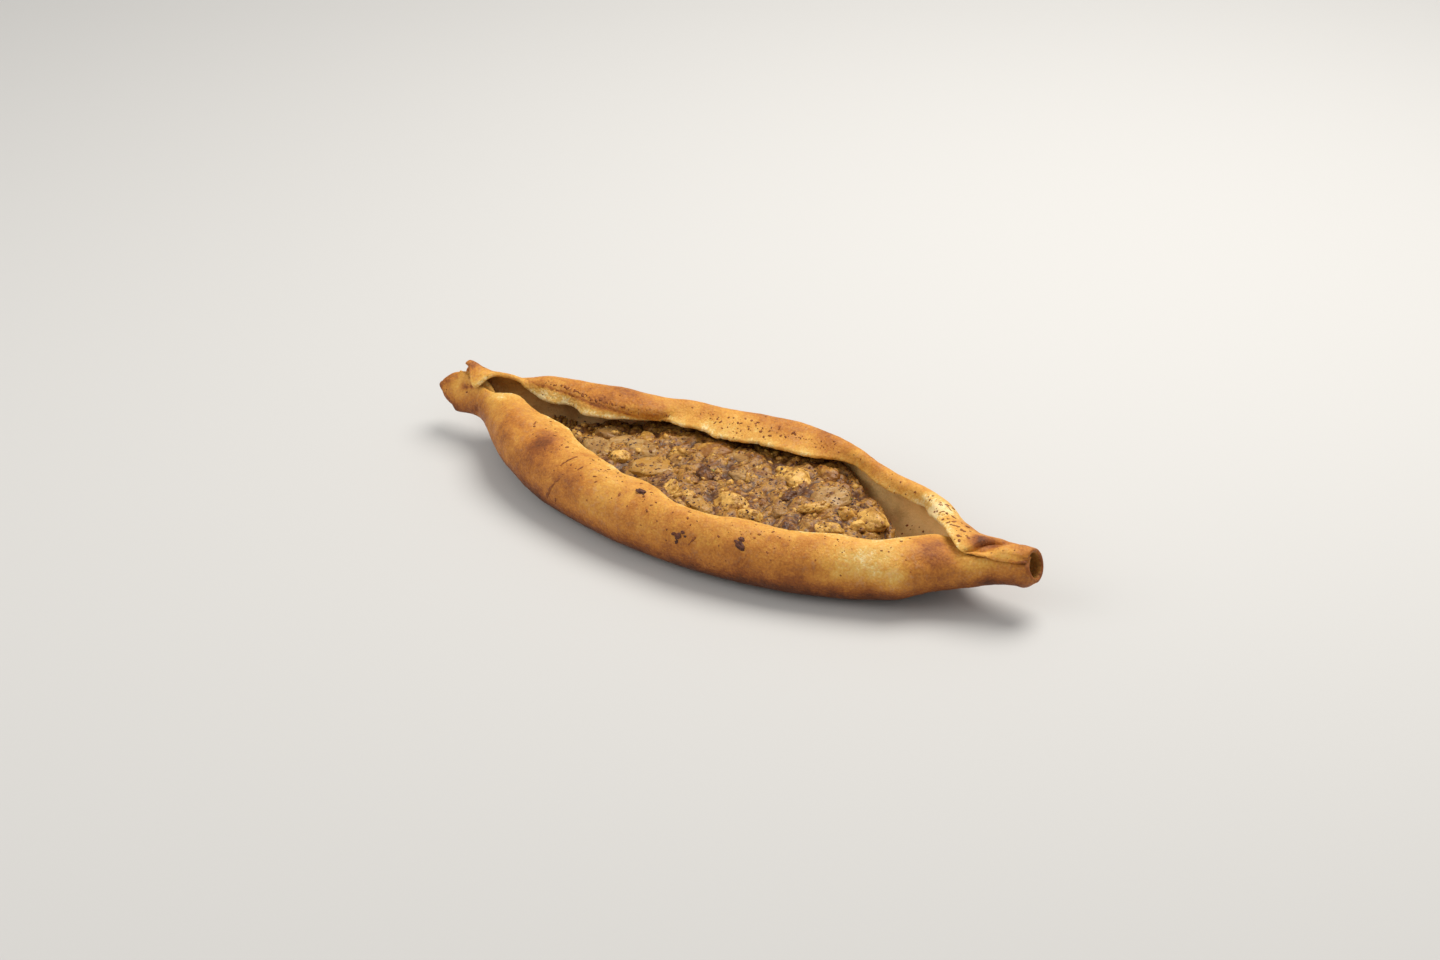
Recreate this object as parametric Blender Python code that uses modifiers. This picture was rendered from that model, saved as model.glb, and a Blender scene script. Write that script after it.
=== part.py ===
"""A boat-shaped pide: one sheet of baked dough folded round a chopped filling.

The dough's long edges are folded in over the filling, its left end is pinched
into a flat fan and its right end is rolled into a short open tube.  Lengths in
the tables are millimetres; +X runs along the boat, +Y to its back wall, +Z up,
and the origin is under the middle of the bounding box.
"""

import functools
import math

import bmesh
import bpy
import numpy as np
from mathutils import Matrix, Vector, noise

MM = 0.001

# Driving dimensions of the dough sheet
FAN_END_X = -153.0
ROLL_END_X = 154.8
WALL_THICKNESS = 5.0
BASE_THICKNESS = 4.6
LIP_THICKNESS = 2.4
FAN_THICKNESS = 2.2
ROLL_THICKNESS = 2.2
FLAT_BASE_FROM_X = -78.0
FLAT_BASE_TO_X = 80.0
FOLD_HOLLOW = 2.4
MOUTH_HOLLOW = 1.8
MOUTH_TAPER = -1.7
MOUTH_SLANT = 2.4
FAN_LIFT = 13.0
ROLL_LIFT = 14.0
END_ROWS_CLOSER = 0.25

# Where the boat's section gives way to the fan and to the roll
FAN_BLEND = (-142.0, -110.0)
ROLL_BLEND = (100.0, 126.0)

# Outline of the boat, as (x, y) pairs along it
FRONT_BELLY = (
    (-145, -4), (-134, -10), (-121, -18.5), (-104, -29), (-88, -37), (-60, -46), (-30, -51.8),
    (0, -54), (25, -53), (50, -49), (72, -42.8), (92, -35.5), (108, -29.3),
    (120, -22), (135, -12),
)
BACK_BELLY = (
    (-145, 14), (-125, 20.5), (-108, 28), (-85, 35.5), (-60, 39.5), (-45, 44),
    (-30, 47), (0, 52), (12, 53.5), (25, 52.5), (40, 48.5), (55, 42), (72, 35.5),
    (88, 31.5), (102, 27), (117, 17.5), (135, 5.5),
)
# Height of each wall's crest, as (x, z)
FRONT_CREST = ((-145, 29), (-110, 32), (-60, 31), (0, 30), (60, 29.5), (110, 30), (135, 31))
BACK_CREST = (
    (-145, 33), (-124, 33.4), (-110, 34), (-85, 34.2), (-62, 33.8), (-45, 31.5), (0, 31.5),
    (60, 31), (110, 30.5), (135, 31),
)
# Free edges of the two folds, as (x, y, z)
FRONT_LIP = (
    (-145, 3, 25), (-136, 3.5, 27.5), (-128, 5, 29.5), (-120, 5, 30), (-112, 1, 29.5),
    (-105, -2, 29), (-95, -3, 28), (-83, -7, 28), (-73, -14, 28), (-59, -20, 28),
    (-47, -24, 28), (-39, -27, 28), (-27, -28, 28), (-17, -31, 28), (-5, -36, 28),
    (6, -37, 28), (17, -37, 28), (24, -34, 28), (35, -32, 28), (48, -30, 28),
    (59, -27, 28), (70, -23, 28), (81, -21, 28), (88, -19, 28), (96, -12, 28),
    (104, -5, 28), (111, 0.5, 28), (117, 3, 25.5), (123, 4, 22.5), (135, 4, 23),
)
BACK_LIP = (
    (-145, 4, 33), (-138, 7, 32.5), (-133, 11.5, 31.5), (-128, 13, 31), (-123, 13, 28),
    (-117, 14.5, 26), (-107, 13, 25), (-97, 16, 25), (-85, 12, 25), (-72, 16, 25),
    (-60, 22, 25), (-51, 26, 25), (-43, 26, 25), (-30, 27, 25), (-21, 25, 25), (-10, 27, 25), (2, 30, 25),
    (21, 31, 25), (36, 35, 25), (49, 36, 25), (56, 32, 25), (64, 27, 25),
    (79, 23, 25), (93, 19.5, 25), (100, 12, 27), (108, 5, 29.5), (118, -3, 31.5),
    (135, -7, 33),
)
# Inner corner of the back wall's crest, where its top turns down to the lip
BACK_RIDGE = (
    (-145, 6, 33), (-124, 14, 33), (-109, 18, 32.5), (-96, 18.5, 32.5), (-86, 18, 33),
    (-73, 19.5, 33), (-62, 21, 32.5), (-53, 25, 31), (-45, 33, 30), (-20, 35, 30),
    (20, 41, 30), (36, 40, 30), (50, 37, 30.5), (62, 31.5, 30.5), (75, 26.5, 30.5),
    (88, 23.5, 30.5), (100, 16, 31.5), (118, 4, 33), (135, -2, 34),
)
# Lump that fuses the layers of the fan: centre, half sizes and lean in degrees
FAN_CORE = ((-149.0, 5.3, 22.0), (16.0, 9.4, 3.4), 62.0)

# The filling's heap: crown height along it, and how far back it reaches
CLEARANCE = 0.45
HEAP_FROM_X = -101.0
HEAP_TO_X = 91.0
HEAP_CROWN = (
    (-101, 13.5), (-90, 15.5), (-70, 18), (-40, 19.5), (0, 20), (40, 20), (65, 19),
    (80, 16.5), (91, 13),
)
HEAP_BACK = (
    (-101, 9), (-92, 17), (-75, 27), (-55, 33), (0, 44.5), (25, 45.5), (42, 40), (56, 29),
    (75, 17), (91, 0),
)
# Pieces that stand out of the heap: x, y, top z, length, width, depth, turn in degrees
CHUNKS = (
    (-86.5, 3.9, 18.0, 9, 8, 7, 20), (-87.5, 11.0, 17.0, 11, 8, 6, 60),
    (-69.0, -2.5, 20.5, 20, 14, 7, -25), (-73.0, 12.5, 19.5, 13, 8, 6, 10),
    (-63.0, 8.6, 20.0, 15, 9, 7, 40), (-54.0, 17.0, 20.0, 9, 8, 7, 0),
    (-55.2, -5.1, 21.5, 11, 10, 9, 30), (-50.2, 6.4, 21.5, 17, 11, 8, -15),
    (-37.3, -4.9, 21.5, 20, 15, 7, 20), (-24.5, -12.1, 22.5, 11, 9, 9, 0),
    (-22.0, 19.0, 21.5, 17, 13, 9, 25), (-7.0, 23.0, 20.8, 16, 10, 8, -10),
    (-29.5, 13.0, 21.0, 15, 8, 7, 30), (-7.0, -21.0, 22.0, 21, 9, 8, -22),
    (8.2, -9.6, 23.5, 19, 15, 10, -20), (22.0, -17.2, 22.5, 12, 9, 8, 15),
    (3.8, 9.1, 21.8, 15, 11, 7, 0), (21.1, 21.0, 22.0, 20, 14, 9, -10),
    (36.5, 30.0, 20.8, 15, 9, 7, -20), (47.9, 12.6, 22.5, 18, 15, 8, 30),
    (60.0, 4.0, 21.5, 10, 7, 7, 0), (45.8, 1.9, 22.5, 21, 8, 8, 40),
    (70.5, 10.8, 22.5, 17, 14, 10, -30), (30.0, 3.5, 21.5, 12, 9, 7, 70),
    (-13.0, 2.0, 21.5, 13, 10, 8, -40),
)


def profile(pairs, x, column=1):
    """The value at x of a smooth curve through the table's points."""
    knots = np.array([p[0] for p in pairs], float)
    values = np.array([p[column] for p in pairs], float)
    slopes = np.gradient(values, knots)
    i = int(np.clip(np.searchsorted(knots, x) - 1, 0, len(knots) - 2))
    span = knots[i + 1] - knots[i]
    t = min(1.0, max(0.0, (x - knots[i]) / span))
    ends = values[i] * (1 + 2 * t) * (1 - t) ** 2 + values[i + 1] * t * t * (3 - 2 * t)
    return ends + span * (slopes[i] * t * (1 - t) ** 2 - slopes[i + 1] * t * t * (1 - t))


def smooth_step(low, high, x):
    t = min(1.0, max(0.0, (x - low) / (high - low)))
    return t * t * (3 - 2 * t)


def mix(a, b, share):
    return a + (b - a) * share


def base_height(x):
    """Height of the underside: flat in the middle, turned up at both ends."""
    left = max(0.0, FLAT_BASE_FROM_X - x) / (FLAT_BASE_FROM_X - FAN_END_X)
    right = max(0.0, x - FLAT_BASE_TO_X) / (ROLL_END_X - FLAT_BASE_TO_X)
    return FAN_LIFT * min(left, 1.0) ** 1.3 + ROLL_LIFT * min(right, 1.0) ** 1.3


def boat_section(x):
    """Control points of the dough's middle line at x, front lip to back lip."""
    front, back = profile(FRONT_BELLY, x), profile(BACK_BELLY, x)
    base = base_height(x) + BASE_THICKNESS / 2
    front_top = profile(FRONT_CREST, x) - WALL_THICKNESS / 2
    back_top = profile(BACK_CREST, x) - WALL_THICKNESS / 2
    front_lip = np.array([profile(FRONT_LIP, x, 1), profile(FRONT_LIP, x, 2) - LIP_THICKNESS / 2])
    back_lip = np.array([profile(BACK_LIP, x, 1), profile(BACK_LIP, x, 2) - LIP_THICKNESS / 2])
    ridge = np.array([profile(BACK_RIDGE, x, 1), profile(BACK_RIDGE, x, 2) - WALL_THICKNESS / 2])
    front += WALL_THICKNESS / 2
    back -= WALL_THICKNESS / 2
    corner = min(12.0, (back - front) / 4)
    front_crest = np.array([mix(front, front_lip[0], 0.42), front_top + 0.8])
    back_crest = np.array([mix(back, ridge[0], 0.38), back_top + 1.0])
    return np.array([
        front_lip,
        mix(front_lip, front_crest, 0.4) + (0, 0.5),
        mix(front_lip, front_crest, 0.75) + (0, 0.8),
        front_crest,
        (front + 0.5, mix(base, front_top, 0.83)),
        (front - 1.2, mix(base, front_top, 0.45)),
        (front + corner / 5, mix(base, front_top, 0.1)),
        (front + corner, base),
        (mix(front, back, 0.35), base),
        (mix(front, back, 0.5), base),
        (mix(front, back, 0.65), base),
        (back - corner, base),
        (back - corner / 5, mix(base, back_top, 0.1)),
        (back + 1.2, mix(base, back_top, 0.45)),
        (back - 0.5, mix(base, back_top, 0.83)),
        back_crest,
        ridge + (0, 0.6),
        mix(ridge, back_lip, 0.35) + (0, 0.4),
        back_lip,
    ])


def coil(centre, radii, tilt, start, end, growth, count=19):
    """Points on a tilted oval that grows as it turns, so that its ends can overlap."""
    turn = np.radians(np.linspace(start, end, count))
    grown = np.linspace(-0.5, 0.5, count) * growth
    along, across = (radii[0] + grown) * np.cos(turn), (radii[1] + grown) * np.sin(turn)
    slope = math.radians(tilt)
    return np.stack([
        centre[0] + along * math.cos(slope) - across * math.sin(slope),
        centre[1] + along * math.sin(slope) + across * math.cos(slope),
    ], 1)


def fan_section(x):
    """Flattened oval of the pinched left end, leaning back."""
    pinch, spread = smooth_step(-114, -148, x), smooth_step(-140, FAN_END_X, x)
    radii = (mix(14.5, 10.6, pinch) + spread, mix(13, 4.8, pinch) - spread * 0.8)
    centre = (mix(2.5, 6, pinch), mix(20, 22.8, pinch))
    cut = smooth_step(-143, FAN_END_X, x)
    neck = 1.3 * math.exp(-((x + 134) / 7) ** 2)
    radii = (radii[0] - neck, radii[1])
    end = mix(mix(436, 360, smooth_step(-142, -132, x)), 388, cut)
    growth = mix(8, 4.0, smooth_step(-120, -140, x))
    return coil(centre, radii, 62, mix(58, 34, cut), end, growth)


def roll_dent(x, turn):
    """Depth of the hollow behind the back fold's slanting end, and of the mouth's flattened top."""
    turn = (turn + 180) % 360 - 180
    past_fold = x - mix(140, 128, (turn - 52) / 74)
    hollow = smooth_step(-1, 4, past_fold) * smooth_step(15, 6, past_fold)
    hollow *= smooth_step(35, 58, turn) * smooth_step(134, 112, turn)
    flat_top = math.exp(-((turn - 120) / 24) ** 2) * smooth_step(149, ROLL_END_X, x)
    return FOLD_HOLLOW * hollow + MOUTH_HOLLOW * flat_top


def roll_section(x):
    """Coil of the rolled right end, its seam on top, round once it leaves the boat."""
    narrowing, waist = smooth_step(108, 150, x), smooth_step(112, 134, x)
    flare = smooth_step(149.5, ROLL_END_X, x) * MOUTH_TAPER
    back, top = mix(13.5, 6.7, waist), mix(30.5, 31.3, waist)
    front, bottom = mix(-23.5, -8.2, narrowing), mix(5.5, 15.6, narrowing)
    centre = np.array([(front + back) / 2 - flare * 0.4, (top + bottom) / 2 - flare])
    radii = ((back - front) / 2 + flare, (top - bottom) / 2 + flare)
    end = mix(440, 486, smooth_step(104, 131, x)) + 14 * smooth_step(128, 144, x)
    points = coil(centre, radii, 0, 78, end, mix(8, 4.0, smooth_step(104, 130, x)))
    depth = np.array([roll_dent(x, turn) for turn in np.linspace(78, end, len(points))])
    inward = centre - points
    return points + inward / np.linalg.norm(inward, axis=1)[:, None] * depth[:, None]


def section(x):
    points = boat_section(x)
    fan = smooth_step(FAN_BLEND[1], FAN_BLEND[0], x)
    roll = smooth_step(ROLL_BLEND[0], ROLL_BLEND[1], x)
    if fan > 0:
        points = mix(points, fan_section(x), fan)
    if roll > 0:
        points = mix(points, roll_section(x), roll)
    return points


def spline(points, share):
    """Point of the clamped cubic B-spline over these control points, at share 0 to 1."""
    padded = np.concatenate([points[:1], points[:1], points, points[-1:], points[-1:]])
    s = share * (len(padded) - 3)
    i = min(int(s), len(padded) - 4)
    t = s - i
    weights = ((1 - t) ** 3, 3 * t ** 3 - 6 * t * t + 4, -3 * t ** 3 + 3 * t * t + 3 * t + 1, t ** 3)
    return np.array(weights) / 6 @ padded[i:i + 4]


def end_reach(x, v):
    """How far the ends stand out of their straight edges: the fan's blunt tip, rounded foot and
    cut flap, and the slant of the roll's mouth."""
    height = math.cos(math.radians(34 + 354 * v))
    tip = 12 * math.exp(-((height + 0.3) / 0.5) ** 2) + 2.6 * math.exp(-((height - 0.62) / 0.25) ** 2)
    fan = tip * smooth_step(-138, FAN_END_X, x) * smooth_step(0.88, 0.72, v)
    slant = MOUTH_SLANT * math.cos(math.radians(78 + 422 * v - 285))
    return slant * smooth_step(138, ROLL_END_X, x) - fan


def sheet_point(u, v):
    """Middle of the dough at u along the boat and v across it, in millimetres."""
    x = mix(FAN_END_X, ROLL_END_X, u)
    y, z = spline(section(x), v)
    return Vector((x + end_reach(x, v), y, z))


def grid_place(across_u, across_v):
    """Share along and across the sheet of a point of its grid, whose rows stand closer together
    at the two ends and whose outermost columns are wider."""
    u = across_u - END_ROWS_CLOSER * math.sin(2 * math.pi * across_u) / (2 * math.pi)
    inner = mix(0.5, across_v, 0.94)
    return u, across_v if abs(across_v - 0.5) > 0.499 else inner


def sheet_thickness(u, v):
    x = mix(FAN_END_X, ROLL_END_X, u)
    body = mix(BASE_THICKNESS, WALL_THICKNESS, smooth_step(0.15, 0.3, abs(v - 0.5)))
    body = mix(body, FAN_THICKNESS, smooth_step(FAN_BLEND[1], FAN_BLEND[0], x))
    body = mix(body, ROLL_THICKNESS, smooth_step(ROLL_BLEND[0], ROLL_BLEND[1], x))
    return mix(min(LIP_THICKNESS, body), body, smooth_step(0.05, 0.38, min(v, 1 - v)))


def make_crust(rows, columns):
    mesh = bmesh.new()
    bmesh.ops.create_grid(mesh, x_segments=rows, y_segments=columns, size=0.5)
    weights = []
    for vert in mesh.verts:
        u, v = grid_place(vert.co.x + 0.5, vert.co.y + 0.5)
        vert.co = sheet_point(u, v) * MM
        weights.append(sheet_thickness(u, v) / WALL_THICKNESS)
    data = bpy.data.meshes.new("crust")
    mesh.to_mesh(data)
    mesh.free()
    crust = bpy.data.objects.new("crust", data)
    group = crust.vertex_groups.new(name="thickness")
    for index, weight in enumerate(weights):
        group.add([index], min(1.0, weight), "REPLACE")
    solid = crust.modifiers.new("dough", "SOLIDIFY")
    solid.thickness = WALL_THICKNESS * MM
    solid.offset = 0
    solid.vertex_group = "thickness"
    return crust


def fan_core():
    """Pinched lump inside the fan, drawn out to a blunt tip."""
    centre, sizes, lean = FAN_CORE
    mesh = bmesh.new()
    bmesh.ops.create_icosphere(mesh, subdivisions=3, radius=1)
    tilt = Matrix.Rotation(math.radians(lean), 3, "X")
    for vert in mesh.verts:
        p = vert.co.copy()
        p *= 1 + 0.06 * noise.noise(p * 1.7)
        vert.co = (tilt @ Vector((p.x * sizes[0], p.y * sizes[1], p.z * sizes[2])) + Vector(centre)) * MM
    return finished(mesh, "fan core")


@functools.lru_cache(maxsize=None)
def inner_face(x):
    """Points of the dough's upper, inner face in the section at x, front to back."""
    points = np.array([spline(section(x), v) for v in np.linspace(0.2, 0.8, 61)])
    across = np.gradient(points, axis=0)
    across /= np.linalg.norm(across, axis=1)[:, None]
    return points + np.stack([-across[:, 1], across[:, 0]], 1) * (WALL_THICKNESS / 2 + CLEARANCE)


def inner_floor(x, y):
    """Height of the dough's inner face under a point of the filling."""
    face = inner_face(x)
    below = face[int(np.argmin(face[:, 0])):int(np.argmax(face[:, 0])) + 1]
    return float(np.interp(y, below[:, 0], below[:, 1]))


@functools.lru_cache(maxsize=None)
def heap_sides(x):
    """Front and back limits of the heap: the walls just below its crown, or short of them."""
    face = inner_face(x)
    lowest = int(np.argmin(face[:, 1]))
    level = profile(HEAP_CROWN, x) + 1.0
    front = float(np.interp(-level, -face[:lowest + 1, 1], face[:lowest + 1, 0]))
    back = float(np.interp(level, face[lowest:, 1], face[lowest:, 0]))
    return max(front, face[:, 0].min() + 0.5), min(back, face[:, 0].max() - 0.5, profile(HEAP_BACK, x))


def heap_height(x, y):
    crown = profile(HEAP_CROWN, x)
    front, back = heap_sides(x)
    middle, half = (front + back) / 2, (back - front) / 2
    lump = noise.noise(Vector((x, y, 3)) / 9.0) * 1.6 + noise.noise(Vector((x, y, 9)) / 4.5) * 0.8
    return crown - 2.2 * min(1, abs(y - middle) / half) ** 3 + lump


def finished(mesh, name):
    bmesh.ops.recalc_face_normals(mesh, faces=mesh.faces)
    data = bpy.data.meshes.new(name)
    mesh.to_mesh(data)
    mesh.free()
    return bpy.data.objects.new(name, data)


def heap_core(rows, columns):
    """The body of the filling: a lumpy top over a bottom that follows the dough."""
    mesh = bmesh.new()
    bmesh.ops.create_grid(mesh, x_segments=rows, y_segments=columns, size=0.5)
    top = bmesh.ops.extrude_face_region(mesh, geom=list(mesh.faces))["geom"]
    top = {item for item in top if isinstance(item, bmesh.types.BMVert)}
    for vert in mesh.verts:
        x = mix(HEAP_FROM_X, HEAP_TO_X, vert.co.x + 0.5)
        y = mix(*heap_sides(x), vert.co.y + 0.5)
        floor = inner_floor(x, y)
        z = max(heap_height(x, y), floor + 1.0) if vert in top else floor
        vert.co = Vector((x, y, z)) * MM
    return finished(mesh, "filling")


def chunk(x, y, top, length, width, depth, turn, seed):
    """One piece of the filling: a lumpy, slightly squared blob."""
    mesh = bmesh.new()
    bmesh.ops.create_icosphere(mesh, subdivisions=2, radius=1)
    spin = Matrix.Rotation(math.radians(turn), 3, "Z")
    for vert in mesh.verts:
        p = vert.co.copy()
        p *= 1 + 0.22 * noise.noise(p * 1.3 + Vector((seed * 7.3, 0, 0)))
        p = spin @ Vector((p.x * length / 2, p.y * width / 2, p.z * depth / 2))
        vert.co = (p + Vector((x, y, top - depth / 2))) * MM
    return finished(mesh, "chunk")


def apply_modifiers(obj):
    """Replace the object's mesh by its evaluated one."""
    bpy.context.view_layer.update()
    data = bpy.data.meshes.new_from_object(obj.evaluated_get(bpy.context.evaluated_depsgraph_get()))
    obj.modifiers.clear()
    obj.data = data


def fuse(obj, pieces, collection):
    """Join the pieces to the object and take them out of the scene."""
    for piece in pieces:
        collection.objects.link(piece)
    union = obj.modifiers.new("fused", "BOOLEAN")
    union.operation = "UNION"
    union.operand_type = "COLLECTION"
    union.collection = collection
    union.solver = "EXACT"
    apply_modifiers(obj)
    for piece in pieces:
        bpy.data.objects.remove(piece, do_unlink=True)


def paint(obj, colour, roughness):
    material = bpy.data.materials.new(obj.name)
    material.use_nodes = True
    shader = material.node_tree.nodes["Principled BSDF"]
    shader.inputs["Base Color"].default_value = (*colour, 1)
    shader.inputs["Roughness"].default_value = roughness
    obj.data.materials.clear()
    obj.data.materials.append(material)


def centre_on_origin(objects):
    """Put the middle of the objects' shared bounding box over the origin, its bottom at zero."""
    points = np.array([tuple(vert.co) for obj in objects for vert in obj.data.vertices])
    low, high = points.min(0), points.max(0)
    shift = Vector((-(low[0] + high[0]) / 2, -(low[1] + high[1]) / 2, -low[2]))
    for obj in objects:
        obj.data.transform(Matrix.Translation(shift))


def clear_scene():
    for obj in list(bpy.data.objects):
        bpy.data.objects.remove(obj, do_unlink=True)


def main():
    clear_scene()
    pide = bpy.data.collections.new("turkish pide")
    cutters = bpy.data.collections.new("fused pieces")
    bpy.context.scene.collection.children.link(pide)
    bpy.context.scene.collection.children.link(cutters)
    crust = make_crust(64, 34)
    pide.objects.link(crust)
    apply_modifiers(crust)
    fuse(crust, [fan_core()], cutters)
    filling = heap_core(42, 11)
    pide.objects.link(filling)
    fuse(filling, [chunk(*values, seed) for seed, values in enumerate(CHUNKS)], cutters)
    centre_on_origin([crust, filling])
    paint(crust, (0.56, 0.27, 0.09), 0.6)
    paint(filling, (0.42, 0.27, 0.13), 0.7)
    bpy.data.collections.remove(cutters)


main()
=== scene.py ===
import functools
import math

import bmesh
import bpy
import numpy as np
from mathutils import Matrix, Vector, noise
from mathutils.bvhtree import BVHTree


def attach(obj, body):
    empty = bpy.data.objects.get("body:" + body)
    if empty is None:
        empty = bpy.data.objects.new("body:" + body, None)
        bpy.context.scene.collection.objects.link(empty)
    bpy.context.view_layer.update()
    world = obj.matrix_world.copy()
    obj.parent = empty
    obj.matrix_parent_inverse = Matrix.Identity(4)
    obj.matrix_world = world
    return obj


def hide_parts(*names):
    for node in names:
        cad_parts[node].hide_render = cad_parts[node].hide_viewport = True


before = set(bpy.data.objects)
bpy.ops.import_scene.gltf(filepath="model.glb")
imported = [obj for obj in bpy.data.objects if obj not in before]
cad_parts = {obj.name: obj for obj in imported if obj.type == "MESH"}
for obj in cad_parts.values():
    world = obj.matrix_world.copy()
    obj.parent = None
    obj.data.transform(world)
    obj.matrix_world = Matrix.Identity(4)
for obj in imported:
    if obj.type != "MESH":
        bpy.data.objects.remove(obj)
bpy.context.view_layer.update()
mm = 0.001
sheetOffset = Vector((3.7, 0.23, 0.0))  # from the dough tables' own zero to the middle of the part

# Everything in the tables and settings below is in millimetres, +X along the boat, +Z up.
doughShape = {
    "fanEndX": -153.0,
    "rollEndX": 154.8,
    "wallThickness": 5.0,
    "baseThickness": 4.6,
    "lipThickness": 2.4,
    "fanThickness": 2.2,
    "rollThickness": 2.2,
    "flatBase": (-78.0, 80.0),
    "endLift": (13.0, 14.0),
    "fanBlend": (-142.0, -110.0),
    "rollBlend": (100.0, 126.0),
    "rollStart": 112.0,         # from here on the sheet has the roll's dents and thin free edge
    "foldHollow": 2.7,
    "mouthHollow": 1.8,
    "mouthTaper": -1.7,
    "mouthSlant": 2.4,
    "frontBelly": (
        (-145, -4), (-134, -10), (-121, -18.5), (-104, -29), (-88, -37), (-60, -46), (-30, -51.8),
        (0, -54), (25, -53), (50, -49), (72, -42.8), (92, -35.5), (108, -29.3), (120, -22), (135, -12),
    ),
    "backBelly": (
        (-145, 14), (-125, 20.5), (-108, 28), (-85, 35.5), (-60, 39.5), (-45, 44), (-30, 47), (0, 52),
        (12, 53.5), (25, 52.5), (40, 48.5), (55, 42), (72, 35.5), (88, 31.5), (102, 27), (117, 17.5),
        (135, 5.5),
    ),
    "frontCrest": ((-145, 29), (-110, 32), (-60, 31), (0, 30), (60, 29.5), (110, 30), (135, 31)),
    "backCrest": (
        (-145, 33), (-124, 33.4), (-110, 34), (-85, 34.2), (-62, 33.8), (-45, 31.5), (0, 31.5), (60, 31),
        (110, 30.5), (135, 31),
    ),
    "frontLip": (
        (-145, 3, 25), (-136, 3.5, 27.5), (-128, 5, 29.5), (-120, 5, 30), (-112, 1, 29.5), (-105, -2, 29),
        (-95, -3, 28), (-83, -7, 28), (-73, -14, 28), (-59, -20, 28), (-47, -24, 28), (-39, -27, 28),
        (-27, -28, 28), (-17, -31, 28), (-5, -36, 28), (6, -37, 28), (17, -37, 28), (24, -34, 28),
        (35, -32, 28), (48, -30, 28), (59, -27, 28), (70, -23, 28), (81, -21, 28), (88, -19, 28),
        (96, -12, 28), (104, -5, 28), (111, 0.5, 28), (117, 3, 25.5), (123, 4, 22.5), (135, 4, 23),
    ),
    "backLip": (
        (-145, 4, 33), (-138, 7, 32.5), (-133, 11.5, 31.5), (-128, 13, 31), (-123, 13, 28), (-117, 14.5, 26),
        (-107, 13, 25), (-97, 16, 25), (-85, 12, 25), (-72, 16, 25), (-60, 22, 25), (-51, 26, 25),
        (-43, 26, 25), (-30, 27, 25),
        (-21, 25, 25), (-10, 27, 25), (2, 30, 25), (21, 31, 25), (36, 35, 25), (49, 36, 25),
        (56, 32, 25), (64, 27, 25), (79, 23, 25), (93, 19.5, 25), (100, 12, 27), (108, 5, 29.5),
        (118, -3, 31.5), (135, -7, 33),
    ),
    "backRidge": (
        (-145, 6, 33), (-124, 14, 33), (-109, 18, 32.5), (-96, 18.5, 32.5), (-86, 18, 33), (-73, 19.5, 33),
        (-62, 21, 32.5), (-53, 25, 31), (-45, 33, 30), (-20, 35, 30), (20, 41, 30), (36, 40, 30),
        (50, 37, 30.5), (62, 31.5, 30.5), (75, 26.5, 30.5), (88, 23.5, 30.5), (100, 16, 31.5),
        (118, 4, 33), (135, -2, 34),
    ),
}


def curveAt(table, x, column=1):
    # smooth curve through the table's points
    knots = np.array([row[0] for row in table], float)
    values = np.array([row[column] for row in table], float)
    slopes = np.gradient(values, knots)
    i = int(np.clip(np.searchsorted(knots, x) - 1, 0, len(knots) - 2))
    span = knots[i + 1] - knots[i]
    t = min(1.0, max(0.0, (x - knots[i]) / span))
    ends = values[i] * (1 + 2 * t) * (1 - t) ** 2 + values[i + 1] * t * t * (3 - 2 * t)
    return ends + span * (slopes[i] * t * (1 - t) ** 2 - slopes[i + 1] * t * t * (1 - t))


def ease(low, high, x):
    t = np.clip((np.asarray(x, float) - low) / (high - low), 0, 1)
    return t * t * (3 - 2 * t)


def mix(a, b, share):
    return a + (b - a) * share


def bump(x, centre, width):
    return np.exp(-((np.asarray(x, float) - centre) / width) ** 2)


def baseHeight(x):
    shape = doughShape
    left = max(0.0, shape["flatBase"][0] - x) / (shape["flatBase"][0] - shape["fanEndX"])
    right = max(0.0, x - shape["flatBase"][1]) / (shape["rollEndX"] - shape["flatBase"][1])
    return shape["endLift"][0] * min(left, 1.0) ** 1.3 + shape["endLift"][1] * min(right, 1.0) ** 1.3


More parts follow.
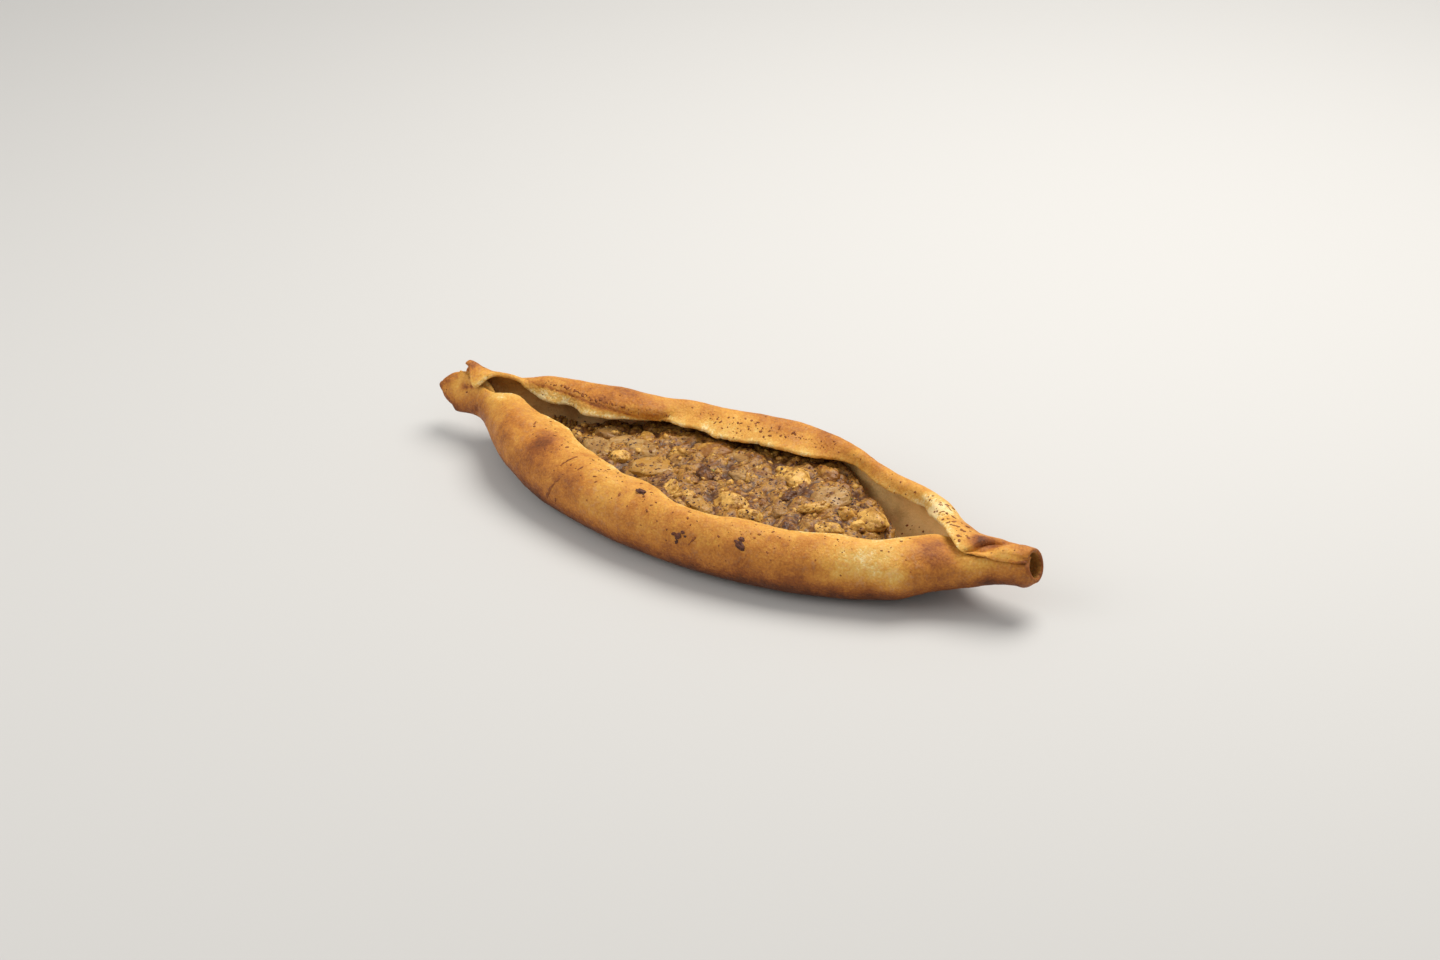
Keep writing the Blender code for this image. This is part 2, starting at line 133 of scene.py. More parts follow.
def boatSection(x):
    shape = doughShape
    wall, lip = shape["wallThickness"], shape["lipThickness"]
    front, back = curveAt(shape["frontBelly"], x) + wall / 2, curveAt(shape["backBelly"], x) - wall / 2
    base = baseHeight(x) + shape["baseThickness"] / 2
    frontTop = curveAt(shape["frontCrest"], x) - wall / 2
    backTop = curveAt(shape["backCrest"], x) - wall / 2
    frontLip = np.array([curveAt(shape["frontLip"], x, 1), curveAt(shape["frontLip"], x, 2) - lip / 2])
    backLip = np.array([curveAt(shape["backLip"], x, 1), curveAt(shape["backLip"], x, 2) - lip / 2])
    ridge = np.array([curveAt(shape["backRidge"], x, 1), curveAt(shape["backRidge"], x, 2) - wall / 2])
    corner = min(12.0, (back - front) / 4)
    frontCrest = np.array([mix(front, frontLip[0], 0.42), frontTop + 0.8])
    backCrest = np.array([mix(back, ridge[0], 0.38), backTop + 1.0])
    return np.array([
        frontLip,
        mix(frontLip, frontCrest, 0.4) + (0, 0.5),
        mix(frontLip, frontCrest, 0.75) + (0, 0.8),
        frontCrest,
        (front + 0.5, mix(base, frontTop, 0.83)),
        (front - 1.2, mix(base, frontTop, 0.45)),
        (front + corner / 5, mix(base, frontTop, 0.1)),
        (front + corner, base),
        (mix(front, back, 0.35), base),
        (mix(front, back, 0.5), base),
        (mix(front, back, 0.65), base),
        (back - corner, base),
        (back - corner / 5, mix(base, backTop, 0.1)),
        (back + 1.2, mix(base, backTop, 0.45)),
        (back - 0.5, mix(base, backTop, 0.83)),
        backCrest,
        ridge + (0, 0.6),
        mix(ridge, backLip, 0.35) + (0, 0.4),
        backLip,
    ])


def coil(centre, radii, tilt, start, end, growth, count=19):
    # a tilted oval that grows as it turns, so that its ends can overlap
    turn = np.radians(np.linspace(start, end, count))
    grown = np.linspace(-0.5, 0.5, count) * growth
    along, across = (radii[0] + grown) * np.cos(turn), (radii[1] + grown) * np.sin(turn)
    slope = math.radians(tilt)
    return np.stack([
        centre[0] + along * math.cos(slope) - across * math.sin(slope),
        centre[1] + along * math.sin(slope) + across * math.cos(slope),
    ], 1)


def fanSection(x):
    # flattened oval of the pinched left end, leaning back, with the back fold's flap on top
    pinch, spread = ease(-114, -148, x), ease(-140, doughShape["fanEndX"], x)
    neck = 1.3 * bump(x, -134, 7)
    radii = (mix(14.5, 10.6, pinch) + spread - neck, mix(13, 4.8, pinch) - spread * 0.8)
    centre = (mix(2.5, 6, pinch), mix(20, 22.8, pinch))
    cut = ease(-143, doughShape["fanEndX"], x)
    end = mix(mix(436, 360, ease(-142, -132, x)), 388, cut)
    return coil(centre, radii, 62, mix(58, 34, cut), end, mix(8, 4.0, ease(-120, -140, x)))


def rollOval(x):
    # centre and radii of the rolled right end, drawn in at its mouth
    narrowing, waist = ease(108, 150, x), ease(112, 134, x)
    taper = ease(149.5, doughShape["rollEndX"], x) * doughShape["mouthTaper"]
    back, top = mix(13.5, 6.7, waist), mix(30.5, 31.3, waist)
    front, bottom = mix(-23.5, -8.2, narrowing), mix(5.5, 15.6, narrowing)
    centre = np.array([(front + back) / 2 - taper * 0.4, (top + bottom) / 2 - taper])
    return centre, ((back - front) / 2 + taper, (top - bottom) / 2 + taper)


def rollTurns(x):
    # angles round the roll at which the sheet starts and ends; 90 and 450 are its top
    return 78, mix(440, 486, ease(104, 131, x)) + 14 * ease(128, 144, x)


def rollSection(x):
    centre, radii = rollOval(x)
    return coil(centre, radii, 0, *rollTurns(x), mix(8, 4.0, ease(104, 130, x)))


def rollDent(x, turn):
    # depth of the hollow behind the back fold's slanting end, and of the mouth's flattened top
    around = (turn + 180) % 360 - 180
    pastFold = x - mix(136.5, 124.5, (around - 52) / 74)
    start = np.where(turn > 360, ease(-0.4, 1.6, pastFold), ease(-1, 4, pastFold))
    hollow = start * ease(15, 6, pastFold) * ease(35, 58, around) * ease(134, 112, around)
    flatTop = bump(around, 120, 24) * ease(149, doughShape["rollEndX"], x)
    pressed = 0.8 * ease(rollTurns(x)[1] - 32, rollTurns(x)[1], turn)  # the free edge lies on the layer below
    return doughShape["foldHollow"] * hollow + doughShape["mouthHollow"] * flatTop + pressed


def dentRoll(x, shares, section):
    # the section's points pushed in by the dents, towards the roll's centre
    turn = mix(*rollTurns(x), np.clip((20 * shares - 1) / 18, 0, 1))
    inward = rollOval(x)[0] - section
    inward /= np.linalg.norm(inward, axis=1)[:, None]
    return section + inward * (rollDent(x, turn) * ease(doughShape["rollStart"], 126, x))[:, None]


@functools.lru_cache(maxsize=None)
def sectionAt(x):
    points = boatSection(x)
    fan = ease(doughShape["fanBlend"][1], doughShape["fanBlend"][0], x)
    roll = ease(doughShape["rollBlend"][0], doughShape["rollBlend"][1], x)
    if fan > 0:
        points = mix(points, fanSection(x), fan)
    if roll > 0:
        points = mix(points, rollSection(x), roll)
    return points


def splineAt(points, shares):
    # clamped cubic B-spline through a section's control points
    padded = np.concatenate([points[:1], points[:1], points, points[-1:], points[-1:]])
    s = np.asarray(shares, float) * (len(padded) - 3)
    i = np.minimum(s.astype(int), len(padded) - 4)
    t = s - i
    weights = ((1 - t) ** 3, 3 * t ** 3 - 6 * t * t + 4, -3 * t ** 3 + 3 * t * t + 3 * t + 1, t ** 3)
    return sum(weight[:, None] / 6 * padded[i + k] for k, weight in enumerate(weights))


def endReach(x, v):
    # how far the ends stand out: the fan's blunt tip, rounded foot and cut flap, the roll's slanting mouth
    height = np.cos(np.radians(34 + 354 * v))
    tip = 12 * np.exp(-((height + 0.3) / 0.5) ** 2) + 2.6 * np.exp(-((height - 0.62) / 0.25) ** 2)
    fan = tip * ease(-138, doughShape["fanEndX"], x) * ease(0.88, 0.72, v)
    slant = doughShape["mouthSlant"] * np.cos(np.radians(78 + 422 * v - 285))
    return slant * ease(138, doughShape["rollEndX"], x) - fan


def sheetThickness(x, v):
    shape = doughShape
    body = mix(shape["baseThickness"], shape["wallThickness"], ease(0.15, 0.3, np.abs(v - 0.5)))
    body = mix(body, shape["fanThickness"], ease(shape["fanBlend"][1], shape["fanBlend"][0], x))
    body = mix(body, shape["rollThickness"], ease(shape["rollBlend"][0], shape["rollBlend"][1], x))
    lip = np.minimum(shape["lipThickness"], body)
    return mix(lip, body, ease(0.05, 0.38, np.minimum(v, 1 - v)))


def noiseField(points, size, seed=0.0):
    # smooth noise between about -1 and 1 at points in mm
    start = Vector((seed * 17.3, seed * 5.1, seed * 9.7))
    values = [noise.noise(Vector(p) / size + start) for p in points.reshape(-1, 3)]
    return np.array(values).reshape(points.shape[:-1])


def newObject(mesh, name):
    data = bpy.data.meshes.new(name)
    mesh.to_mesh(data)
    mesh.free()
    obj = bpy.data.objects.new(name, data)
    bpy.context.scene.collection.objects.link(obj)
    return obj


def applyModifiers(obj):
    bpy.context.view_layer.update()
    data = bpy.data.meshes.new_from_object(obj.evaluated_get(bpy.context.evaluated_depsgraph_get()))
    obj.modifiers.clear()
    obj.data = data


def smoothShading(obj):
    obj.data.polygons.foreach_set("use_smooth", [True] * len(obj.data.polygons))
    obj.data.update()


def vertexPlaces(obj):
    places = np.empty(len(obj.data.vertices) * 3)
    obj.data.vertices.foreach_get("co", places)
    return places.reshape(-1, 3)


def keepAttribute(obj, name, values):
    attribute = obj.data.attributes.new(name, "FLOAT", "POINT")
    attribute.data.foreach_set("value", np.ascontiguousarray(values, dtype=np.float32))


# dough crust: one sheet folded round the filling
crustSettings = {
    "rows": 316,
    "endSteps": (0.12, 0.35, 0.7),  # distances of the first rows from each end
    "columns": 146,
    "columnShares": ((0, 0.43, 0.57, 1), (0.02, 0.37, 0.63, 0.98)),  # finer on the walls and folds than below
    "rimShare": 0.16,               # how much of its thickness the dough keeps at its very edge
    "dents": (34.0, 0.7),       # size and depth of the broad dents
    "ripples": (11.0, 0.35),
    "pimples": (3.2, 0.12),
    "lipFrill": ((7.0, 0.9), (2.6, 0.42)),
    "blisters": (               # x, y, z, radius, height of raised spots
        (-79.2, -27.1, 30.4, 7.0, 0.7), (-70.5, 26.4, 32.8, 9.0, 0.6), (-99.7, -20.1, 30.3, 8.0, 0.5),
        (119.0, -14.9, 27.2, 8.0, 0.5), (-17.4, -39.8, 30.2, 3.0, 0.4), (38.5, -48.0, 25.0, 4.0, 0.4),
        (-146.7, 3.4, 25.6, 2.4, -0.9), (-142.4, 3.9, 26.8, 1.6, -0.7), (-136.2, -1.6, 18.3, 3.0, -0.7),
    ),
    "rollCreases": (127.0, 8.0, 0.5),
    "crackle": (2.4, 0.3),      # fine creases in the skin of the back fold's left half
    "tears": (                  # place along the back lip, width, depth
        (-50.3, 0.9, 1.7), (-18.6, 1.3, 1.1), (-15.4, 0.8, 0.8), (-0.6, 0.8, 1.0), (31.0, 1.0, 0.7),
    ),
}


def sheetMiddle():
    settings = crustSettings
    start, end, steps = doughShape["fanEndX"], doughShape["rollEndX"], settings["endSteps"]
    share = np.linspace(0, 1, settings["rows"] + 1 - 2 * len(steps))
    share -= 0.25 * np.sin(2 * math.pi * share) / (2 * math.pi)  # rows stand closer at both ends
    inner = mix(start + steps[-1] + 0.5, end - steps[-1] - 0.5, share)[1:-1]
    xs = np.concatenate([[start], start + np.array(steps), inner, end - np.array(steps)[::-1], [end]])
    vs = np.interp(np.linspace(0, 1, settings["columns"] + 1), *settings["columnShares"])
    middle = np.zeros((len(xs), len(vs), 3))
    for i, x in enumerate(xs):
        section = splineAt(sectionAt(float(x)), vs)
        if x > doughShape["rollStart"]:
            section = dentRoll(x, vs, section)
        middle[i, :, 0] = x + endReach(x, vs)
        middle[i, :, 1:] = section
    return xs, vs, middle


def edgeDistances(xs, middle):
    # distance of each point of the sheet from its nearest edge
    steps = np.linalg.norm(np.diff(middle, axis=1), axis=2)
    along = np.concatenate([np.zeros((len(xs), 1)), np.cumsum(steps, axis=1)], axis=1)
    sides = np.minimum(along, along[:, -1:] - along)
    ends = np.minimum(xs - xs[0], xs[-1] - xs)
    return np.minimum(sides, ends[:, None])


def sheetNormals(middle):
    along, across = np.gradient(middle, axis=0), np.gradient(middle, axis=1)
    normals = np.cross(across, along)  # points out of the boat
    return normals / np.linalg.norm(normals, axis=2)[..., None], across


def sheetRelief(xs, vs, middle):
    # height of the dents, ripples and blisters over the smooth sheet
    settings = crustSettings
    size, depth = settings["dents"]
    relief = noiseField(middle, size, 1) * depth
    size, depth = settings["ripples"]
    relief += noiseField(middle, size, 2) * depth
    size, depth = settings["pimples"]
    relief += noiseField(middle, size, 3) * depth
    for x, y, z, radius, height in settings["blisters"]:
        away = np.linalg.norm(middle - (np.array((x, y, z)) - np.array(sheetOffset)), axis=2)
        relief += height * np.exp(-(away / radius) ** 2 * 2)
    centre, width, depth = settings["rollCreases"]
    relief += depth * bump(xs, centre, width)[:, None] * noiseField(middle * (0.25, 1, 1), 3.5, 5)
    size, depth = settings["crackle"]
    leftHalf = ease(-126, -110, xs) * ease(-40, -56, xs)
    backFold = ease(0.77, 0.82, vs) * ease(0.97, 0.93, vs)
    creases = np.clip(1 - 5 * np.abs(noiseField(middle, size, 6)), 0, 1)
    relief -= depth * np.outer(leftHalf, backFold) * creases
    ends = ease(doughShape["fanEndX"] - 1, -146, xs) * ease(doughShape["rollEndX"] + 1, 150, xs)
    relief *= mix(0.4, 1, ends)[:, None]
    return relief * ease(2.0, 9.0, middle[..., 2])


def makeCrust():
    settings = crustSettings
    xs, vs, middle = sheetMiddle()
    normals, across = sheetNormals(middle)
    relief = sheetRelief(xs, vs, middle)
    frill = sum(noiseField(middle, size, 4) * depth for size, depth in settings["lipFrill"])
    torn = sum(depth * bump(xs, x, width) for x, width, depth in settings["tears"])
    lips = ease(0.09, 0.0, vs) - ease(0.91, 1.0, vs)
    frill = frill * lips[None, :] - np.outer(torn, ease(0.93, 1.0, vs))
    frill *= (ease(-140, -128, xs) * ease(150, 140, xs))[:, None]
    sideways = across / np.linalg.norm(across, axis=2)[..., None]
    middle = middle + normals * relief[..., None] + sideways * frill[..., None]
    edges = edgeDistances(xs, middle)
    sheet = bmesh.new()
    rows, columns = len(xs) - 1, len(vs) - 1
    bmesh.ops.create_grid(sheet, x_segments=rows, y_segments=columns, size=0.5)
    places = []
    for vert in sheet.verts:
        i, j = round((vert.co.x + 0.5) * rows), round((vert.co.y + 0.5) * columns)
        vert.co = (Vector(middle[i, j]) + sheetOffset) * mm
        places.append((i, j))
    crust = newObject(sheet, "doughCrust")
    group = crust.vertex_groups.new(name="thickness")
    for index, (i, j) in enumerate(places):
        thickness = sheetThickness(xs[i], vs[j])
        near = min(1.0, edges[i, j] / (thickness / 2))
        rounding = max(settings["rimShare"], math.sqrt(1 - (1 - near) ** 2))  # rolls the rim off
        if xs[i] > doughShape["rollStart"] and vs[j] > 0.9:  # the roll's free edge thins out
            thinned = mix(0.4, 1, float(ease(0, 6, edges[i, j])))
            rounding *= mix(1, thinned, float(ease(doughShape["rollStart"], 126, xs[i])))
        group.add([index], min(1.0, float(thickness * rounding / doughShape["wallThickness"])), "REPLACE")
    dough = crust.modifiers.new("dough", "SOLIDIFY")
    dough.thickness = doughShape["wallThickness"] * mm
    dough.offset = 0
    dough.vertex_group = "thickness"
    applyModifiers(crust)
    return crust, xs, vs, middle, edges


fanCoreSettings = {"centre": (-149.0, 5.3, 22.0), "halfSizes": (16.0, 9.4, 3.4), "lean": 62.0}


def fuseFanCore(crust):
    # the pinched lump that closes the fan's layers
    settings = fanCoreSettings
    ball = bmesh.new()
    bmesh.ops.create_icosphere(ball, subdivisions=4, radius=1)
    tilt = Matrix.Rotation(math.radians(settings["lean"]), 3, "X")
    for vert in ball.verts:
        p = vert.co * (1 + 0.06 * noise.noise(vert.co * 1.7))
        p = tilt @ Vector(tuple(a * b for a, b in zip(p, settings["halfSizes"])))
        vert.co = (p + Vector(settings["centre"]) + sheetOffset) * mm
    core = newObject(ball, "fanCore")
    crust.modifiers.new("triangles", "TRIANGULATE")  # bent quads would leave the union with doubled faces
    union = crust.modifiers.new("fan core", "BOOLEAN")
    union.operation = "UNION"
    union.solver = "MANIFOLD"
    union.object = core
    applyModifiers(crust)
    bpy.data.objects.remove(core, do_unlink=True)


crust, sheetXs, sheetShares, sheetSurface, sheetEdges = makeCrust()
fuseFanCore(crust)
smoothShading(crust)
print("crust:", len(crust.data.polygons), "faces")


# where each part of the crust has browned, and a few spots of painted shade: x, y, z, radius, amount (minus
# is paler)
bakeAndShadeSettings = {
    "patches": (
        (-79.6, -27.0, 30.3, 5.0, 0.2), (-79.6, -27.0, 30.3, 9.0, 0.06), (118.7, -15.1, 27.3, 9.0, 0.22),
        (-76.3, 16.9, 30.6, 5.0, 0.16), (15.9, -53.4, 12.6, 12.0, -0.1), (139.9, -12.0, 25.2, 9.0, -0.18),
        (-25.2, -46.0, 27.0, 16.0, -0.16), (92.0, -35.0, 21.0, 11.0, -0.1),
        (-60.0, 27.0, 32.9, 14.0, 0.08), (0.0, 33.0, 27.5, 18.0, -0.1), (-38.0, -36.0, 29.0, 10.0, -0.1),
        (60.0, 32.0, 29.6, 14.0, -0.08), (113.7, -12.0, 29.0, 5.0, 0.18), (-101.9, -17.4, 31.1, 9.0, 0.06),
        (107.0, -29.3, 22.2, 12.0, -0.16), (-90.6, 21.5, 32.9, 12.0, -0.06),
        (-70.5, 26.4, 32.8, 14.0, 0.06), (-6.6, -41.0, 30.1, 10.0, -0.08),
        (-72.7, -40.7, 19.7, 9.0, -0.06), (-62.0, -43.5, 17.0, 11.0, -0.14), (96.6, -34.9, 11.0, 9.0, 0.2),
        # next line, first spot: the roll's lower side, browned and darkened further as painted shade
        (142.3, -10.3, 17.0, 7.0, 0.34), (-2.6, 42.1, 30.4, 13.0, 0.1), (98.3, 19.1, 29.8, 8.0, -0.12),
        (-151.2, 2.0, 23.1, 7.0, 0.1), (-142.1, -0.2, 20.0, 6.0, 0.12), (86.8, -34.9, 25.6, 17.0, -0.24),
        (58.5, -46.8, 9.7, 16.0, 0.1), (-160.6, 2.6, 24.0, 3.5, 0.18), (-157.0, 4.1, 26.5, 3.0, 0.05),
        (-150.0, 2.0, 25.0, 9.0, -0.1), (-147.0, 3.4, 25.6, 1.6, 0.45), (-145.0, 3.4, 25.7, 1.3, 0.4),
        (-142.4, 3.9, 26.8, 1.0, 0.6), (-136.2, -1.6, 18.3, 1.6, 0.25), (-147.0, 3.0, 24.0, 7.0, -0.14),
        (-145.5, 9.0, 35.0, 3.2, 0.45), (-141.0, 4.5, 32.5, 3.0, 0.25), (-138.0, 7.5, 33.5, 5.0, -0.16),
        # the last spot on the next line and the first two on the one after it: the hollow behind the back
        # fold's slanting end, browned and darkened further as painted shade
        (-122.0, -1.0, 30.0, 8.0, -0.12), (-134.0, 2.0, 27.0, 6.0, 0.02), (134.5, -5.5, 33.0, 4.5, 0.6),
        (139.5, -2.0, 32.0, 4.0, 0.5), (132.0, -2.0, 33.0, 3.0, 0.25), (139.3, -10.3, 31.4, 3.2, -0.05),
        (146.0, -9.2, 30.4, 3.2, -0.05), (150.0, -6.0, 30.0, 7.0, -0.12), (104.0, 17.0, 30.0, 15.0, -0.32),
        (112.0, 10.0, 31.0, 10.0, -0.16), (123.0, -1.0, 33.0, 8.0, -0.08), (152.0, -2.0, 30.0, 4.0, 0.25),
        (136.0, -13.0, 25.0, 11.0, -0.16), (150.0, -10.0, 25.0, 8.0, -0.1),
    ),
    "burntSpot": (-79.6, -27.0, 30.3),  # where toasted dots gather
    "flouryPlace": (100, -30, 20),
    "acrossOutside": (  # how brown each line along the sheet is, front lip to back lip
        (0, 0.03, 0.09, 0.17, 0.25, 0.34, 0.4, 0.6, 0.68, 0.76, 0.83, 0.89, 0.95, 1),
        (0.1, 0.17, 0.31, 0.44, 0.56, 0.66, 0.68, 0.66, 0.62, 0.52, 0.42, 0.33, 0.2, 0.12),
    ),
}


def seamShare(x):
    # where a browned line crosses the back fold's left half, from its crest down to its lip
    return np.interp(x, (-112, -70, -60, -46), (0.865, 0.905, 0.92, 0.975))


def crustOnSheet(crust):
    # for each point of the crust: its x and share along the sheet, its distance from the edge, and its side
    rows, columns = len(sheetXs) - 1, len(sheetShares) - 1
    grid = [(Vector(p) + sheetOffset) * mm for p in sheetSurface.reshape(-1, 3)]
    step = columns + 1
    quads = [(i * step + j, i * step + j + 1, (i + 1) * step + j + 1, (i + 1) * step + j)
             for i in range(rows) for j in range(columns)]
    tree = BVHTree.FromPolygons(grid, quads)
    places = vertexPlaces(crust)
    x, v, outside, edge = np.zeros((4, len(places)))
    for k, place in enumerate(places):
        near, normal, face, _ = tree.find_nearest(Vector(place))
        i, j = divmod(face, columns)
        x[k], v[k], edge[k] = sheetXs[i], sheetShares[j], sheetEdges[i, j]
        outside[k] = (Vector(place) - near).dot(normal)
    sign = np.sign(outside[np.argmin(places[:, 2])])  # the underside is outside
    rim = ease(1.9, 0.7, edge)  # the cut edge has the outside's colour
    return x, v, edge, np.maximum(ease(-0.0004, 0.0004, outside * sign), rim)


def markCrust(crust):
    # how brown, how floury and how deep inside each point of the crust is
    x, v, edge, outside = crustOnSheet(crust)
    spot = vertexPlaces(crust) / mm
    toastAndShade = np.interp(v, *bakeAndShadeSettings["acrossOutside"])
    toastAndShade += 0.03 * ease(-118, -140, x) + 0.02 * ease(128, 140, x)
    toastAndShade += 0.16 * noiseField(spot, 42.0, 11) + 0.12 * noiseField(spot, 17.0, 12)
    pastSeam = v - seamShare(x)
    left = ease(-128, -112, x) * ease(-40, -58, x)
    leftTop = left * ease(0.78, 0.82, v) * ease(0.0, -0.02, pastSeam)
    seam = left * np.exp(-(pastSeam / 0.008) ** 2)
    toastAndShade += 0.07 * leftTop + 0.32 * seam - 0.16 * left * ease(0.005, 0.03, pastSeam)
    for px, py, pz, radius, amount in bakeAndShadeSettings["patches"]:
        away = np.linalg.norm(spot - (px, py, pz), axis=1)
        toastAndShade += amount * np.exp(-(away / radius) ** 2)
    toastAndShade -= 0.03 * ease(3.5, 1.0, edge) * ease(-130, -115, x) * ease(135, 120, x)
    # painted shade: the crust is made browner towards the bottom, where less light reaches it
    toastAndShade += 0.38 * ease(18, 3, spot[:, 2])
    toastAndShade += 0.12 * ease(2.0, 0.8, edge) * (ease(-145, -150, x) + ease(148, 152, x))
    freckles = 0.35 + 0.4 * noiseField(spot, 22.0, 14) + leftTop + seam
    freckles += ease(92, 106, x) * ease(0.8, 0.85, v)
    freckles += 1.2 * np.exp(-(np.linalg.norm(spot - bakeAndShadeSettings["burntSpot"], axis=1) / 14) ** 2)
    flour = 0.35 + 0.5 * noiseField(spot, 26.0, 13)
    flour += 0.6 * np.exp(-(np.linalg.norm(spot - bakeAndShadeSettings["flouryPlace"], axis=1) / 16) ** 2)
    toastAndShade += 0.3 * ease(2.6, 0.6, edge) * ease(120, 128, x) * ease(0.9, 0.95, v)  # the roll's free edge
    flour *= ease(0.72, 0.42, toastAndShade)
    keepAttribute(crust, "toastAndShade", toastAndShade)
    keepAttribute(crust, "outside", outside)
    keepAttribute(crust, "flour", np.clip(flour, 0, 1))
    keepAttribute(crust, "freckles", np.clip(freckles, 0, 1))
    # painted light and shade on the inner dough: it is made pale where light falls on it, on the bare ramp at
    # the right and on the left back wall that bounced light reaches; it keeps the darker stain colour just
    # below the back lip and towards the left end, where shade falls
    backWall = ease(0.56, 0.64, v) * ease(0.79, 0.69, v)
    innerPaintedLight = ease(-10, 75, x) * ease(112, 100, x)
    innerPaintedLight += ease(-50, -75, x) * mix(0.4, 1, ease(-108, -84, x)) * backWall
    keepAttribute(crust, "innerPaintedLight", innerPaintedLight)


markCrust(crust)
print("crust marked")


def newMaterial(name, roughness=0.5, subsurface=0.0, radius=(0.004, 0.002, 0.001)):
    material = bpy.data.materials.new(name)
    material.use_nodes = True
    tree = material.node_tree
    shader = tree.nodes["Principled BSDF"]
    shader.inputs["Roughness"].default_value = roughness
    shader.inputs["Specular IOR Level"].default_value = 0.35
    shader.inputs["Subsurface Weight"].default_value = subsurface
    shader.inputs["Subsurface Radius"].default_value = radius
    shader.inputs["Subsurface Scale"].default_value = 1.0
    return material, tree, shader


def addNode(tree, kind, sockets=None, **options):
    node = tree.nodes.new(kind)
    for key, value in options.items():
        setattr(node, key, value)
    for key, value in (sockets or {}).items():
        if isinstance(value, bpy.types.NodeSocket):
            tree.links.new(value, node.inputs[key])
        else:
            node.inputs[key].default_value = value
    return node


def objectPlace(tree):
    return addNode(tree, "ShaderNodeTexCoord").outputs["Object"]


def pattern(tree, place, scale, detail=3.0, roughness=0.55):
    return addNode(tree, "ShaderNodeTexNoise", {"Vector": place, "Scale": scale, "Detail": detail,
                                                "Roughness": roughness}).outputs["Fac"]


def cells(tree, place, scale, output="Distance"):
    return addNode(tree, "ShaderNodeTexVoronoi", {"Vector": place, "Scale": scale}).outputs[output]


def calc(tree, operation, a, b=0.0, clamp=False):
    return addNode(tree, "ShaderNodeMath", {0: a, 1: b}, operation=operation, use_clamp=clamp).outputs[0]


def varied(tree, value, source, amount, middle=0.5):
    # the value raised and lowered by how far the source is from its middle
    swing = calc(tree, "SUBTRACT", source, middle) if middle else source
    return calc(tree, "ADD", value, calc(tree, "MULTIPLY", swing, amount))


def cellDots(tree, place, scale, size, soft):
    # a dot of its own size in the middle of each cell
    reach = calc(tree, "MULTIPLY", cells(tree, place, scale, "Color"), size)
    return fade(tree, calc(tree, "SUBTRACT", reach, cells(tree, place, scale)), *soft)


def namedStops(colours, *stops):
    return [(place, colours[name]) for place, name in stops]


def ramp(tree, value, stops):
    node = addNode(tree, "ShaderNodeValToRGB", {"Fac": value})
    elements = node.color_ramp.elements
    while len(elements) < len(stops):
        elements.new(0.5)
    for element, (position, colour) in zip(elements, stops):
        element.position = position
        element.color = (*colour, 1) if isinstance(colour, tuple) else (colour, colour, colour, 1)
    return node.outputs["Color"]


def fade(tree, value, low, high):
    # 0 below low, 1 above high
    return addNode(tree, "ShaderNodeMapRange", {"Value": value, "From Min": low, "From Max": high},
                   interpolation_type="SMOOTHSTEP").outputs["Result"]


def over(tree, share, under, top):
    node = addNode(tree, "ShaderNodeMix", data_type="RGBA")
    for socket, value in ((node.inputs[0], share), (node.inputs[6], under), (node.inputs[7], top)):
        if isinstance(value, bpy.types.NodeSocket):
            tree.links.new(value, socket)
        else:
            socket.default_value = (*value, 1) if isinstance(value, tuple) else value
    return node.outputs[2]


def attribute(tree, name):
    return addNode(tree, "ShaderNodeAttribute", attribute_name=name).outputs["Fac"]


def connect(tree, output, shader, name):
    tree.links.new(output, shader.inputs[name])


def addBump(tree, shader, height, distance, strength=0.5):
    node = addNode(tree, "ShaderNodeBump", {"Height": height, "Distance": distance, "Strength": strength})
    tree.links.new(node.outputs["Normal"], shader.inputs["Normal"])


crustColours = {
    "white": (0.90, 0.69, 0.34),
    "pale": (0.78, 0.48, 0.12),
    "gold": (0.72, 0.35, 0.055),
    "orange": (0.52, 0.19, 0.022),
    "brown": (0.29, 0.082, 0.009),
    "dark": (0.11, 0.028, 0.005),
    "flour": (0.80, 0.54, 0.28),
    # inner: the inner dough's pale colour, made brighter as painted light; the next colour is its stains and
    # its painted shade
    "inner": (0.90, 0.60, 0.24),
    "innerStainAndShade": (0.40, 0.18, 0.035),
}


